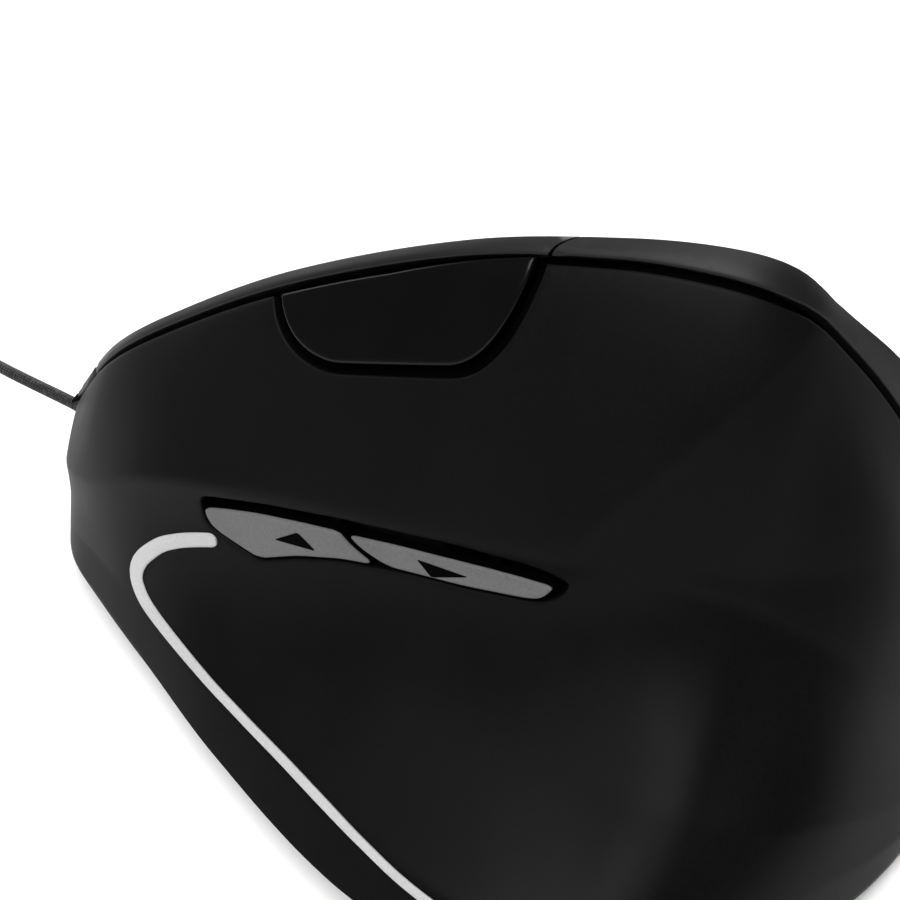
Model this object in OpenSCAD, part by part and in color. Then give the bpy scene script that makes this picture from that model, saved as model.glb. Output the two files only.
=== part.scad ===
// Vertical ergonomic mouse, wired, for the right hand.
// Millimetres. X points to the finger side, Y to the nose, Z up from the desk.

/* [Body] */
// Length from nose to heel
body_l = 120; // [110:1:130]
// Width from the thumb lip to the finger shelf
body_w = 78; // [74:1:84]
// Height of the ridge above the desk
body_h = 66.5; // [63:0.5:70]
// Wall of the covers and buttons
wall = 2; // [1.6:0.1:2.2]
// Gap along the seams between covers and buttons
seam_gap = 0.9; // [0.85:0.05:1.1]
// Y of the split between the finger buttons and the rear cover
split_y = -9; // [-12:0.5:-7]
// Y of the joint between the finger buttons and the nose cap
nose_joint_y = 53; // [51:0.5:54]

/* [Base] */
// Thickness of the base plate
base_t = 2; // [1.6:0.1:2.4]
// Height of the glide feet
foot_h = 0.8; // [0.5:0.1:0.9]
// Width of a glide foot
foot_w = 7; // [5:0.5:9]
// Height of the main board above the base plate
board_lift = 3.2; // [3:0.1:4]
// Thickness of the circuit boards
board_t = 1.2; // [1:0.1:1.6]
// Thread diameter of the screws
screw_d = 2; // [1.6:0.1:2.5]

/* [Finger buttons] */
// Lean of the finger face away from flat
finger_tilt = 56; // [54:1:58]
// Forward fall of the finger face
finger_fall = 18; // [16:1:20]
// Depth of the button board below the finger face
board_drop = 15; // [14.5:0.1:15.6]
// Diameter of the hinge pin
pin_d = 2; // [1.6:0.1:2.4]
// Running clearance on pins and axles, on the radius
run_gap = 0.05; // [0.03:0.01:0.08]
// Clearance between a plunger and what presses it
press_gap = 0.1; // [0.05:0.01:0.15]
// Sideways distance of the button arms from the wheel
arm_x = 10.5; // [10:0.1:11]
// Height of the button switches
switch_h = 6.5; // [6:0.1:6.8]

/* [Wheel] */
// Diameter over the tyre
wheel_d = 22; // [20:0.5:23]
// Width of the tyre
wheel_w = 6.6; // [6:0.1:7]
// How far the wheel stands out of the bezel
wheel_proud = 4; // [3:0.1:4.5]
// Y of the wheel on the finger face
wheel_y = 28; // [26:0.5:30]
// Diameter of the wheel's axle
axle_d = 3; // [2.4:0.1:3.4]
// Width of the bezel between the finger buttons
bezel_w = 12; // [11.5:0.1:13]
// Length of the speed button
dpi_l = 8; // [7:0.1:9]
// Width of the speed button
dpi_w = 5; // [4:0.1:5.4]

/* [Thumb buttons] */
// How far the thumb buttons stand out of the cover
thumb_proud = 0.15; // [0.1:0.05:0.6]
// Height of the small push switches
tact_h = 3.5; // [3:0.1:4]
// Side of the small push switches
tact_w = 6; // [5:0.1:6.2]

/* [Trim and cord] */
// Mean width of the accent strip
strip_w = 1.6; // [1.2:0.1:2]
// How far the accent strip stands out of the thumb cover
strip_proud = 0.25; // [0.15:0.05:0.4]
// Diameter of the cord
cord_d = 1.8; // [1.6:0.05:2]
// Gap between neighbouring turns of the coil
turn_gap = 0.5; // [0.45:0.05:0.6]
// Turns in each layer of the coil
layer_turns = 3.5; // [3.5:1:4.5]

/* [Hidden] */
$fn = 48;

// Body lines. The shell is drawn as lines that run from nose to heel, each with its place
// across (x) and up (z) at these stations; the stretch factors follow the driving sizes.
along = body_l / 120;
across = body_w / 78;
up = body_h / 66.5;
station = [60, 48, 36, 20, 0, -16, -26, -32, -36, -48, -60] * along;
lip_x = [-9, -11.3, -17.4, -26.4, -35.5, -39, -39, -38, -37, -32.5, -29.5] * across;
rim_in = [1.5, 2, 2.5, 4, 4.4, 3.6, 3.5, 3.5, 3.5, 3.5, 3] * across;
rim_z = [5.5, 9, 9, 8.5, 8.5, 8.5, 8.5, 9, 9, 9, 4.5] * up;
scoop_in = [0, 0, 0.4, 1.8, 2.8, 2.8, 1.8, 0.7, 0, -1.2, 0] * across;
crease_x = [-4, -8, -10.5, -11.2, -11.5, -11.5, -11.5, -11.5, -11.6, -12.5, -6] * across;
crease_z = [14, 21, 28, 32, 34.5, 36.5, 36.5, 35.5, 34.2, 27.5, 8.5] * up;
crease_drop = [4, 6, 6.5, 7, 7, 7, 7, 7.4, 7.7, 8, 2] * up;
low_out = [0.5, 0.3, 0, -0.3, -0.5, -0.5, 0.5, 1.6, 2.4, 4, 4] * across;
facet_x = [0, -4, -5, -5.5, -5.8, -5.6, -5.4, -5, -5, -5, 0] * across;
facet_z = [17, 27.5, 36.5, 43, 48.5, 51.5, 52, 51, 49.3, 38, 10.5] * up;
crest_x = [6.5, 3, 2.5, 2.5, 3, 3.5, 4, 5, 6.4, 11.5, 13.5] * across;
crest_z = [20.5, 35, 44.2, 53.8, 62.2, 66.1, 67.2, 66, 62.3, 46.6, 14] * up;
crest_soft = [2.5, 2.5, 2.5, 2.5, 2.5, 3, 3.6, 4.2, 4.2, 7.5, 8] * across;
crest_fall = [2, 2, 2, 2, 2, 2.6, 3.6, 3.5, 1.8, 7, 1.8] * up;
shelf_x = [21.5, 26.5, 30.5, 35, 38.3, 39.2, 39.2, 39, 38.7, 37.5, 36.5] * across;
edge_z = 1;
lip_z = 3.2;
shelf_z = 4;
// The finger side falls from the crest to the shelf in these shares of its width and height.
finger_side = [[0.30, 0.16], [0.58, 0.38], [0.80, 0.66], [0.86, 0.86]];
// How often each line counts in the section: a line that counts twice makes a tighter bend.
weight = [1, 2, 2, 1, 1, 2, 1, 1, 2, 1, 1, 1, 1, 2, 1];
// Where the nose and the heel begin to close, and the middle that they close on.
nose_start = 40 * along;
heel_start = -28 * along;
nose_x = 7.5 * across;
heel_x = 11.5 * across;
// Fullness of the nose in plan (2 is an ellipse), and the share of the width left at the tips.
nose_full = 2.5;
blunt = 0.02;

// Behind the thumb buttons the palm turns away along a crease that climbs from the slot's end to
// the ridge, with a small step down on its rear side.
palm_y = -16.6 * along;
palm_z = 37 * up;
palm_lean = 0.75 * along / up;
palm_step = 0.4 * across;
palm_turn = 0.22 * across;

// Places across the section, counted along the weighted lines.
v_lip = 0;
v_seam = 10.4;
v_wheel = 14;
v_rest = 1.6;
v_shelf = 19;
nose_cut_y = nose_joint_y + body_l / 2 - 60;

function knot(y, i = 0) = i >= len(station) - 2 || y >= station[i + 1] ? i : knot(y, i + 1);
function rise(q, i) = let(a = max(i - 1, 0), b = min(i + 1, len(q) - 1))
    (q[b] - q[a]) / (station[b] - station[a]);
function line(q, y) = let(i = knot(y), h = station[i + 1] - station[i], s = (y - station[i]) / h)
    q[i] * (1 + 2 * s) * (1 - s) ^ 2 + rise(q, i) * h * s * (1 - s) ^ 2
    + q[i + 1] * s * s * (3 - 2 * s) + rise(q, i + 1) * h * s * s * (s - 1);

function outline_points(y) = let(
    lip = line(lip_x, y),
    rim = [lip + line(rim_in, y), line(rim_z, y)],
    crease = [line(crease_x, y), line(crease_z, y)],
    low = crease - [line(low_out, y), line(crease_drop, y)],
    scoop = (rim + low) / 2 + [1, -1] * line(scoop_in, y),
    crest = [line(crest_x, y), line(crest_z, y)],
    shelf = [line(shelf_x, y), shelf_z])
    concat([[lip + 2, edge_z], [lip, lip_z], rim, scoop, low, crease,
        [line(facet_x, y), line(facet_z, y)], crest - [line(crest_soft, y), line(crest_fall, y)], crest],
        [for (f = finger_side) [crest[0] + f[0] * (shelf[0] - crest[0]),
            crest[1] - f[1] * (crest[1] - shelf[1])]],
        [shelf, [shelf[0] - 2, edge_z]]);

function inward(a, b) = [b[1] - a[1], a[0] - b[0]] / norm(b - a);
function mitre(a, b, c) = (inward(a, b) + inward(b, c)) / (1 + inward(a, b) * inward(b, c));
function inset_points(p, d) = let(n = len(p) - 1) [for (j = [0:n])
    j == 0 ? p[0] + [1.2 * d, 0] : j == n ? p[n] - [1.2 * d, 0]
    : p[j] + d * mitre(p[j - 1], p[j], p[j + 1])];
function closing(y, d) = let(
    a = max(0, (y - nose_start) / (body_l / 2 - d - nose_start)),
    b = max(0, (heel_start - y) / (heel_start + body_l / 2 - d)))
    max(blunt, max(0, 1 - a ^ nose_full) ^ (1 / nose_full) * sqrt(max(0, 1 - b * b)));
function section(y, d) = let(p = inset_points(outline_points(y), d), k = closing(y, d),
    m = y > 0 ? nose_x : heel_x)
    [for (j = [0:len(p) - 1]) for (r = [1:weight[j]]) [m + (p[j][0] - m) * k, p[j][1]]];
function at(c, j) = c[min(max(j, 0), len(c) - 1)];
function blend(c, v) = let(j = min(floor(v), len(c) - 2), s = v - j)
    ((1 - s) ^ 3 * at(c, j - 1) + (3 * s ^ 3 - 6 * s ^ 2 + 4) * at(c, j)
    + (-3 * s ^ 3 + 3 * s ^ 2 + 3 * s + 1) * at(c, j + 1) + s ^ 3 * at(c, j + 2)) / 6;
function clamp(v) = max(0, min(1, v));
function palm(y, v, z) = let(t = max(0, palm_y - palm_lean * max(0, z - palm_z) - y))
    (palm_step * t * t / (t * t + 1) + palm_turn * t * t / (t + 3))
    * clamp((v - 5) / 2) * clamp((12 - v) / 1.5);
function skin_point(c, y, v, d) = let(p = blend(c, v))
    [p[0] + palm(y, v, p[1]) * closing(y, d) ^ 2, y, p[1]];
// A point of the shell at y and v, d below the outer face.
function skin(y, v, d = 0) = skin_point(section(y, d), y, v, d);
function y_of(s, d) = (body_l / 2 - d) * cos(180 * s);
function s_of(y) = acos(max(-1, min(1, y / (body_l / 2)))) / 180;
// Share of v that a width takes at a place on the shell.
function v_width(w, y, v) = w / norm(skin(y, v + 0.1) - skin(y, v - 0.1)) * 0.2;

// A piece of the shell between two y and two v, from d_out to d_in below the outer face. Its
// long edges stay e0 and e1 millimetres short of v0 and v1, each a v or a function of y.
module shell(y0, y1, v0, v1, rows, cols, d_out = 0, d_in = wall, e0 = 0, e1 = 0) {
    s0 = s_of(y0);
    s1 = s_of(y1);
    sheet = [for (d = [d_out, d_in]) for (i = [0:rows])
        let(y = y_of(s0 + (s1 - s0) * i / rows, d), c = section(y, d),
            p = is_num(v0) ? v0 : v0(y), q = is_num(v1) ? v1 : v1(y),
            a = p + v_width(e0, y, p), b = q - v_width(e1, y, q))
        for (j = [0:cols]) skin_point(c, y, a + (b - a) * j / cols, d)];
    n = (rows + 1) * (cols + 1);
    function id(k, i, j) = k * n + i * (cols + 1) + j;
    function quad(a, b, c, d) = [[a, b, c], [a, c, d]];
    faces = [
        for (i = [0:rows - 1]) for (j = [0:cols - 1]) each concat(
            quad(id(0, i, j), id(0, i, j + 1), id(0, i + 1, j + 1), id(0, i + 1, j)),
            quad(id(1, i, j), id(1, i + 1, j), id(1, i + 1, j + 1), id(1, i, j + 1))),
        for (i = [0:rows - 1]) each concat(
            quad(id(0, i, 0), id(0, i + 1, 0), id(1, i + 1, 0), id(1, i, 0)),
            quad(id(0, i, cols), id(1, i, cols), id(1, i + 1, cols), id(0, i + 1, cols))),
        for (j = [0:cols - 1]) each concat(
            quad(id(0, 0, j), id(1, 0, j), id(1, 0, j + 1), id(0, 0, j + 1)),
            quad(id(0, rows, j), id(0, rows, j + 1), id(1, rows, j + 1), id(1, rows, j)))];
    polyhedron(sheet, faces);
}

// Extrudes an outline in y and z along x.
module along_x(x0, x1) {
    translate([x0, 0, 0]) rotate([90, 0, 90]) linear_extrude(x1 - x0) children();
}
function bend(a, b, c, n = 8) = [for (i = [0:n]) let(s = i / n)
    a * (1 - s) ^ 2 + b * 2 * s * (1 - s) + c * s ^ 2];
function stretch(p) = [for (q = p) [q[0] * along, q[1] * up]];

// Outlines on the thumb side, in y and z: the half-moon window and its flap, the slot of the
// thumb buttons and the two buttons.
moon_window = stretch(concat([[24, 60], [22.4, 52]], bend([22.2, 51], [19.5, 46], [12.5, 46.7]),
    bend([-1.5, 50.4], [-7.2, 52], [-9, 62]), [[-9.2, 70]]));
moon_flap = stretch(concat([[23, 60], [21.5, 52]], bend([21.2, 51.2], [18.5, 47], [12.5, 47.7]),
    bend([-1.2, 51.5], [-5.6, 53], [-7.6, 61.4]), [[-8.2, 70]]));
thumb_slot = stretch([[27.5, 28.5], [26.2, 29], [18, 30.9], [8.6, 32.5], [-4.3, 34], [-13.4, 34.4],
    [-16.6, 34], [-17.8, 33.2], [-17.2, 31.8], [-15.2, 30.3], [-13.3, 29.8], [-6.4, 28.7], [0.3, 28],
    [4.3, 27.3], [8.9, 26.5], [14.4, 24.8], [19.6, 22.5], [22.8, 23.2], [26.1, 24.1], [27.4, 25.5]]);
forward_outline = stretch([[27.1, 27.1], [26.9, 25.7], [25.8, 24.4], [22.8, 23.5], [19.6, 22.8],
    [14.4, 25.1], [8.9, 26.8], [4.6, 27.6], [6.9, 28.6], [8.2, 29.5], [9.1, 30.5], [14.1, 29.9],
    [19.3, 29.1], [24.1, 28]]);
back_outline = stretch([[7.9, 30.5], [7, 29.6], [5.6, 28.8], [2.9, 28], [0.3, 28.3], [-6.4, 29],
    [-13.3, 30.1], [-14.9, 30.6], [-15.7, 31.6], [-16.2, 32.6], [-11.8, 32.4], [-7.8, 32.1], [1.6, 31.3]]);

// Finger face: a local frame on the shell at the wheel, with x down the face, y to the nose
// and z out of it.
wheel_at = skin(wheel_y, v_wheel);
face_tilt = atan(tan(finger_tilt) * up / across);
face_fall = atan(tan(finger_fall) * up / along);
face_x = [cos(face_tilt), 0, -sin(face_tilt)];
face_y = [-sin(face_fall) * sin(face_tilt), cos(face_fall), -sin(face_fall) * cos(face_tilt)];
face_z = cross(face_x, face_y);
function on_face(p) = let(q = p - wheel_at) [q * face_x, q * face_y, q * face_z];
module on_finger_face() {
    translate(wheel_at) rotate([-face_fall, face_tilt, 0]) children();
}
module centred(size, z0) {
    translate([-size[0] / 2, -size[1] / 2, z0]) cube(size);
}

half_gap = seam_gap / 2;

// Finds the v on the inner face of the shell that lies over a sideways place on the finger face.
function v_over(x, y, lo, hi, n = 14) = n == 0 ? (lo + hi) / 2 : let(m = (lo + hi) / 2)
    on_face(skin(y, m, wall))[0] < x ? v_over(x, y, m, hi, n - 1) : v_over(x, y, lo, m, n - 1);
// The wheel's plane on the shell, and the line where the right button ends below it.
wheel_line = function(y) v_over(0, y, v_seam, v_shelf);
rest_line = function(y) wheel_line(y) + v_rest;
bezel_edge = bezel_w / 2 + half_gap;

// Heights below the finger face.
board_z = -board_drop;
plate_t = 3.2;
plate_z = board_z - board_t - plate_t;
wheel_z = wheel_proud - wheel_d / 2;
slot_l = 2 * sqrt((wheel_d / 2) ^ 2 - (wheel_z + wall) ^ 2) + 1.6;
switch_top = board_z + switch_h;
plunger_out = 0.8;
arm_t = 2.2;
arm_z = switch_top + plunger_out + press_gap;
arm_w = 4;
arm_bend = -6;
hinge_y = -33;
hinge_z = -10.5;
eye_r = pin_d / 2 + 1.6;
switch_l = 12.8;
switch_w = 5.8;
switch_y = 4;
plunger_y = 7;
tact_y = 16.5;
dpi_y = -19;
tact_top = board_z + tact_h;
tact_r = 1.4;
tact_out = 0.7;
carrier_t = 1.8;
carrier_x = wheel_w / 2 + 0.9;
post_w = 2.4;
seat_gap = 0.6;
guide_r = 1;
guide_y = 12.6;
guide_x = carrier_x + carrier_t / 2;

// Heights on the base.
base_z = foot_h;
floor_z = base_z + base_t;
board_bottom = floor_z + board_lift;
board_top = board_bottom + board_t;
board_box = [26, 46];
board_at = [15, -13];
sensor_at = [12, -8];
lens_window = [7, 9];
standoffs = [[5, -33], [25, -33], [25, 7]];
foot_at = [[6 * across, body_l / 2 - 14], [-24 * across, -16], [30 * across, -24]];
foot_l = [14, 20, 18];
foot_turn = [0, 72, 84];
chassis_foot = 8;
chassis_foot_h = 4;
screw_grip = 3;

// Distances behind the thumb face.
thumb_x = skin(0, 6.6)[0];
stem_end = thumb_x + 4.6;
thumb_switch_x = stem_end + press_gap + tact_out;
thumb_board_x = thumb_switch_x + tact_h;
chassis_wall_x = thumb_board_x + board_t;
chassis_wall = 2;
wall_foot_x = chassis_wall_x + chassis_wall - chassis_foot / 2;
chassis_feet = [[7, 33], [wall_foot_x, 15], [wall_foot_x, -19]];
thumb_push = [[15, 27.4], [-5, 30.4]];

module base_outline(clear) {
    d = wall + clear;
    rows = 30;
    near = [for (i = [0:rows]) let(y = y_of(i / rows, d)) [blend(section(y, d), v_lip)[0], y]];
    far = [for (i = [rows - 1:-1:1]) let(y = y_of(i / rows, d)) [blend(section(y, d), v_shelf)[0], y]];
    polygon(concat(near, far));
}

module base_plate() {
    color([0.06, 0.06, 0.065]) difference() {
        union() {
            translate([0, 0, base_z]) linear_extrude(base_t) base_outline(0.2);
            for (p = standoffs)
                translate([p[0], p[1], base_z]) cylinder(d = 5, h = base_t + board_lift);
        }
        translate([sensor_at[0], sensor_at[1], base_z - 1])
            centred([lens_window[0], lens_window[1], base_t + 2], 0);
        for (p = standoffs)
            translate([p[0], p[1], floor_z]) cylinder(d = screw_d, h = board_lift + 1);
        for (p = chassis_feet) translate([p[0], p[1], base_z - 1]) {
            cylinder(d = screw_d + 0.4, h = base_t + 2);
            cylinder(d = 2 * screw_d + 0.4, h = 2);
        }
    }
}

module glide_foot(i) {
    color([0.75, 0.75, 0.74]) translate([foot_at[i][0], foot_at[i][1], 0]) rotate(foot_turn[i])
        linear_extrude(foot_h) {
            square([foot_l[i], foot_w], center = true);
            for (e = [-1, 1]) translate([e * foot_l[i] / 2, 0]) circle(d = foot_w);
        }
}
module front_glide_foot() { glide_foot(0); }
module left_glide_foot() { glide_foot(1); }
module right_glide_foot() { glide_foot(2); }

module base_screws() {
    color([0.55, 0.55, 0.57]) for (p = chassis_feet) translate([p[0], p[1], base_z]) difference() {
        union() {
            cylinder(d = 2 * screw_d, h = 1);
            cylinder(d = screw_d, h = base_t + screw_grip);
        }
        translate([0, 0, -0.1]) cylinder(d = 0.8 * screw_d, h = 0.7, $fn = 6);
    }
}

module thumb_cover() {
    color([0.035, 0.035, 0.038]) difference() {
        shell(body_l / 2, -body_l / 2, v_lip, v_seam, 34, 26, e1 = half_gap);
        along_x(-body_w / 2, nose_x + 4) polygon(moon_window);
        along_x(-body_w / 2, thumb_x + 6) polygon(thumb_slot);
    }
}
module rear_cover() {
    color([0.04, 0.04, 0.043])
        shell(split_y - half_gap, -body_l / 2, v_seam, v_shelf, 18, 18, e0 = half_gap);
}
module finger_rest() {
    color([0.035, 0.035, 0.038])
        shell(nose_cut_y - 0.1, split_y + 0.1, rest_line, v_shelf, 12, 8, e0 = half_gap);
}
module nose_cap() {
    color([0.035, 0.035, 0.038]) difference() {
        shell(body_l / 2, nose_cut_y + half_gap, v_seam, v_shelf, 6, 18, e0 = half_gap);
        cord_line() translate([0, 0, -12]) cylinder(r = gland_r + 0.15, h = 24);
    }
}
module left_button() {
    color([0.04, 0.04, 0.043]) shell(nose_cut_y - half_gap, split_y + half_gap,
        v_seam, wheel_line, 16, 10, e0 = half_gap, e1 = bezel_edge);
}
module right_button() {
    color([0.04, 0.04, 0.043]) shell(nose_cut_y - half_gap, split_y + half_gap,
        wheel_line, rest_line, 14, 6, e0 = bezel_edge, e1 = half_gap);
}
module left_button_flap() {
    color([0.01, 0.01, 0.012]) intersection() {
        shell(24, split_y - 1, 8.7, v_seam, 14, 6, e1 = -half_gap);
        along_x(-body_w / 2, nose_x + 4) polygon(moon_flap);
    }
}
module wheel_bezel() {
    color([0.012, 0.012, 0.014]) difference() {
        shell(nose_cut_y - 0.1, split_y + 0.1, wheel_line, wheel_line, 14, 4,
            e0 = half_gap - bezel_w / 2, e1 = half_gap - bezel_w / 2);
        on_finger_face() {
            centred([wheel_w + 1.2, slot_l, 30], -15);
            translate([0, dpi_y, 0]) centred([dpi_w + 0.6, dpi_l + 0.6, 30], -15);
        }
    }
}

// The accent strip runs from the thumb buttons round the front of the scoop and back along the
// rim. Its route is given as y and v on the thumb cover and as a share of its mean width.
strip_route = [[25.6, 5.9, 1.15], [28.5, 5.82, 1.2], [31.5, 5.7, 1.2], [34.4, 5.5, 1.25], [37.2, 5.1, 1.4],
    [38.1, 4.7, 1.6], [37.2, 4.35, 1.5], [34.8, 4.05, 1.2], [30, 3.8, 0.95], [23, 3.62, 0.75],
    [16, 3.58, 0.7], [9, 3.58, 0.7], [2.5, 3.46, 0.7], [-3, 3.24, 0.65], [-9, 2.98, 0.65],
    [-16, 2.85, 0.65], [-26, 2.8, 0.65], [-36, 2.8, 0.65], [-44, 2.9, 0.65]];
strip_sink = 0.6;
function route(p, s) = let(i = min(floor(s), len(p) - 2), u = s - i, a = p[max(i - 1, 0)], b = p[i],
    c = p[i + 1], d = p[min(i + 2, len(p) - 1)])
    (2 * b + (c - a) * u + (2 * a - 5 * b + 4 * c - d) * u ^ 2 + (3 * b - a - 3 * c + d) * u ^ 3) / 2;
function unit(v) = v / norm(v);
// Faces of a tube of m points a ring over n rings, with flat ends.
function tube_faces(n, m) = concat(
    [for (i = [0:n - 2]) for (j = [0:m - 1]) let(k = (j + 1) % m)
        each [[i * m + j, i * m + k, (i + 1) * m + k], [i * m + j, (i + 1) * m + k, (i + 1) * m + j]]],
    [for (j = [1:m - 2]) [0, j + 1, j]],
    [for (j = [1:m - 2]) [(n - 1) * m, (n - 1) * m + j, (n - 1) * m + j + 1]]);

module accent_strip() {
    steps = 3 * (len(strip_route) - 1);
    last = len(strip_route) - 1.001;
    function spot(s) = let(q = route(strip_route, s)) skin(q[0] * along, q[1]);
    function out(s) = let(q = route(strip_route, s), y = q[0] * along)
        unit(cross(skin(y, q[1] + 0.05) - skin(y, q[1] - 0.05), skin(y + 0.3, q[1]) - skin(y - 0.3, q[1])));
    rings = [for (i = [0:steps]) let(s = min(i / 3, last),
        p = spot(s), n = out(s), t = unit(spot(min(s + 0.05, last)) - spot(max(s - 0.05, 0))),
        w = cross(n, t) * strip_w * route(strip_route, s)[2] / 2, low = p - n * strip_sink,
        high = p + n * strip_proud)
        each [low + w, low - w, high - w, high + w]];
    color([0.78, 0.78, 0.78]) polyhedron(rings, tube_faces(steps + 1, 4));
}

// Place of the bezel's inner face, in the finger face's frame, at a place along it.
function bezel_spot(y) = let(g = wheel_y + y * cos(face_fall)) on_face(skin(g, wheel_line(g), wall));

module chassis_plate() {
    linear_extrude(plate_t)
        polygon([[-12, hinge_y - 3], [12, hinge_y - 3], [12, 25], [-4, 25], [-9, 11], [-9, -12], [-12, -14]]);
}
module chassis() {
    leg = 4;
    wall_legs = [[12, 6], [-22, 6]];
    pillar = 3.5;
    pillar_x = arm_x - arm_w / 2 - pillar - 0.3;
    color([0.16, 0.16, 0.17]) difference() {
        union() {
            on_finger_face() {
                translate([0, 0, plate_z]) chassis_plate();
                for (e = [-1, 1]) translate([e * (pillar_x + pillar / 2), hinge_y, 0])
                    centred([pillar, 2 * eye_r, hinge_z + eye_r - plate_z - 1], plate_z + 1);
                for (y = [-28, 22]) let(p = bezel_spot(y)) translate([p[0], p[1], 0])
                    centred([post_w, post_w, p[2] - seat_gap - plate_z - 1], plate_z + 1);
            }
            difference() {
                union() {
                    translate([chassis_feet[0][0], chassis_feet[0][1], floor_z]) centred([leg, leg, 40], 0);
                    translate([chassis_wall_x, -10, 33]) cube([16, 6, 4]);
                }
                on_finger_face() centred([200, 200, 100], plate_z + 1);
            }
            for (p = chassis_feet) translate([p[0], p[1], floor_z])
                centred([chassis_foot, chassis_foot, chassis_foot_h], 0);
            along_x(chassis_wall_x, chassis_wall_x + chassis_wall)
                polygon(stretch([[18, 20], [18, 32.5], [4, 34], [0, 37], [-22, 37], [-22, 20]]));
            for (w = wall_legs) translate([chassis_wall_x, w[0], floor_z]) cube([chassis_wall, w[1], 22]);
        }
        on_finger_face() {
            centred([wheel_w + 1.6, wheel_d - 2, plate_t + 2], plate_z - 1);
            translate([-20, hinge_y, hinge_z]) rotate([0, 90, 0]) cylinder(d = pin_d, h = 40);
            for (e = [-1, 1]) translate([e * guide_x, guide_y, plate_z - 1])
                cylinder(r = guide_r + run_gap, h = plate_t + 2);
        }
        for (p = chassis_feet) translate([p[0], p[1], floor_z - 1])
            cylinder(d = screw_d, h = screw_grip + 1.5);
    }
}

module main_board() {
    color([0.05, 0.2, 0.09]) translate([0, 0, board_bottom]) linear_extrude(board_t) difference() {
        translate(board_at) square(board_box, center = true);
        translate(sensor_at) square(6, center = true);
        for (p = standoffs) translate(p) circle(d = screw_d + 0.3);
    }
}
module board_screws() {
    color([0.55, 0.55, 0.57]) for (p = standoffs) translate([p[0], p[1], board_top]) difference() {
        union() {
            cylinder(d = 2 * screw_d, h = 1.2);
            translate([0, 0, -board_t - 2.6]) cylinder(d = screw_d, h = board_t + 2.6);
        }
        translate([0, 0, 0.6]) cylinder(d = 0.8 * screw_d, h = 0.7, $fn = 6);
    }
}
module optical_sensor() {
    color([0.05, 0.05, 0.05]) translate([sensor_at[0], sensor_at[1], board_top]) centred([10, 10, 2.4], 0);
}
module sensor_lens() {
    color([0.8, 0.85, 0.9]) translate([sensor_at[0], sensor_at[1], 0]) {
        centred([lens_window[0] - 0.3, lens_window[1] - 0.3, base_t - 0.3], base_z + 0.4);
        centred([lens_window[0] + 4, lens_window[1] + 4, 1.2], floor_z);
        centred([5, 5, board_lift + board_t - 0.1], floor_z);
    }
}
module sensor_led() {
    color([0.7, 0.1, 0.1]) translate([sensor_at[0], sensor_at[1] - 9, board_top]) {
        cylinder(d = 3, h = 3);
        translate([0, 0, 3]) sphere(d = 3);
    }
}
module controller_chip() {
    color([0.04, 0.04, 0.04]) translate([20, -22, board_top]) centred([8, 10, 1.5], 0);
}
module capacitor() {
    color([0.1, 0.1, 0.2]) translate([24, -4, board_top]) cylinder(d = 5, h = 7);
}
module cord_header() {
    color([0.85, 0.83, 0.75]) translate([5.6, -21, board_top]) difference() {
        centred([5, 12, 5], 0);
        centred([3.4, 10.4, 5], 1);
    }
}
module ribbon_cable() {
    ribbon_x = 12.4;
    color([0.75, 0.75, 0.72]) difference() {
        on_finger_face() translate([ribbon_x, -19, board_z - board_t - 30]) cube([0.4, 8, 30]);
        translate([0, 0, board_top - 50]) centred([200, 200, 50], 0);
    }
}
module button_board() {
    color([0.05, 0.2, 0.09]) on_finger_face() translate([0, 0, board_z - board_t]) linear_extrude(board_t)
        difference() {
            polygon([[-14, -24], [14, -24], [14, 21], [-6.5, 21], [-6.5, 11], [-14, 11]]);
            square([wheel_w + 1.6, wheel_d - 2], center = true);
            for (e = [-1, 1]) translate([e * guide_x, guide_y]) circle(r = guide_r + 0.3);
        }
}
module hinge_pin() {
    reach = arm_x + arm_w / 2 + 0.5;
    color([0.7, 0.7, 0.72]) on_finger_face() translate([-reach, hinge_y, hinge_z]) rotate([0, 90, 0])
        cylinder(d = pin_d, h = 2 * reach);
}

// An arm turns on the hinge pin, presses its switch and is welded to the button by two pads.
module button_arm(side) {
    x = side * arm_x;
    weld = 0.3;
    on_finger_face() difference() {
        union() {
            translate([x - arm_w / 2, hinge_y, hinge_z]) rotate([0, 90, 0]) cylinder(r = eye_r, h = arm_w);
            along_x(x - arm_w / 2, x + arm_w / 2) polygon([[hinge_y, hinge_z - 1.2], [arm_bend, arm_z],
                [plunger_y + 4.5, arm_z], [plunger_y + 4.5, arm_z + arm_t], [arm_bend, arm_z + arm_t],
                [hinge_y, hinge_z + 1.4]]);
            for (y = [20, 36]) let(p = on_face(skin(y, v_over(x, y, v_seam, v_shelf), wall)))
                translate([x, p[1], 0]) centred([arm_w - 1, 4, p[2] + weld - arm_z], arm_z);
        }
        translate([x - arm_w, hinge_y, hinge_z]) rotate([0, 90, 0])
            cylinder(r = pin_d / 2 + run_gap, h = 2 * arm_w);
    }
}
module left_button_arm() { color([0.2, 0.2, 0.21]) button_arm(-1); }
module right_button_arm() { color([0.2, 0.2, 0.21]) button_arm(1); }

plunger_r = 1.2;
module button_switch(side) {
    color([0.1, 0.1, 0.1]) on_finger_face() difference() {
        translate([side * arm_x, switch_y, 0]) centred([switch_w, switch_l, switch_h], board_z);
        translate([side * arm_x, plunger_y, switch_top - 3]) cylinder(r = plunger_r + run_gap, h = 4);
    }
}
module button_plunger(side) {
    color([0.75, 0.2, 0.15]) on_finger_face()
        translate([side * arm_x, plunger_y, switch_top - 2]) cylinder(r = plunger_r, h = 2 + plunger_out);
}
module left_switch() { button_switch(-1); }
module right_switch() { button_switch(1); }
module left_plunger() { button_plunger(-1); }
module right_plunger() { button_plunger(1); }

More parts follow.
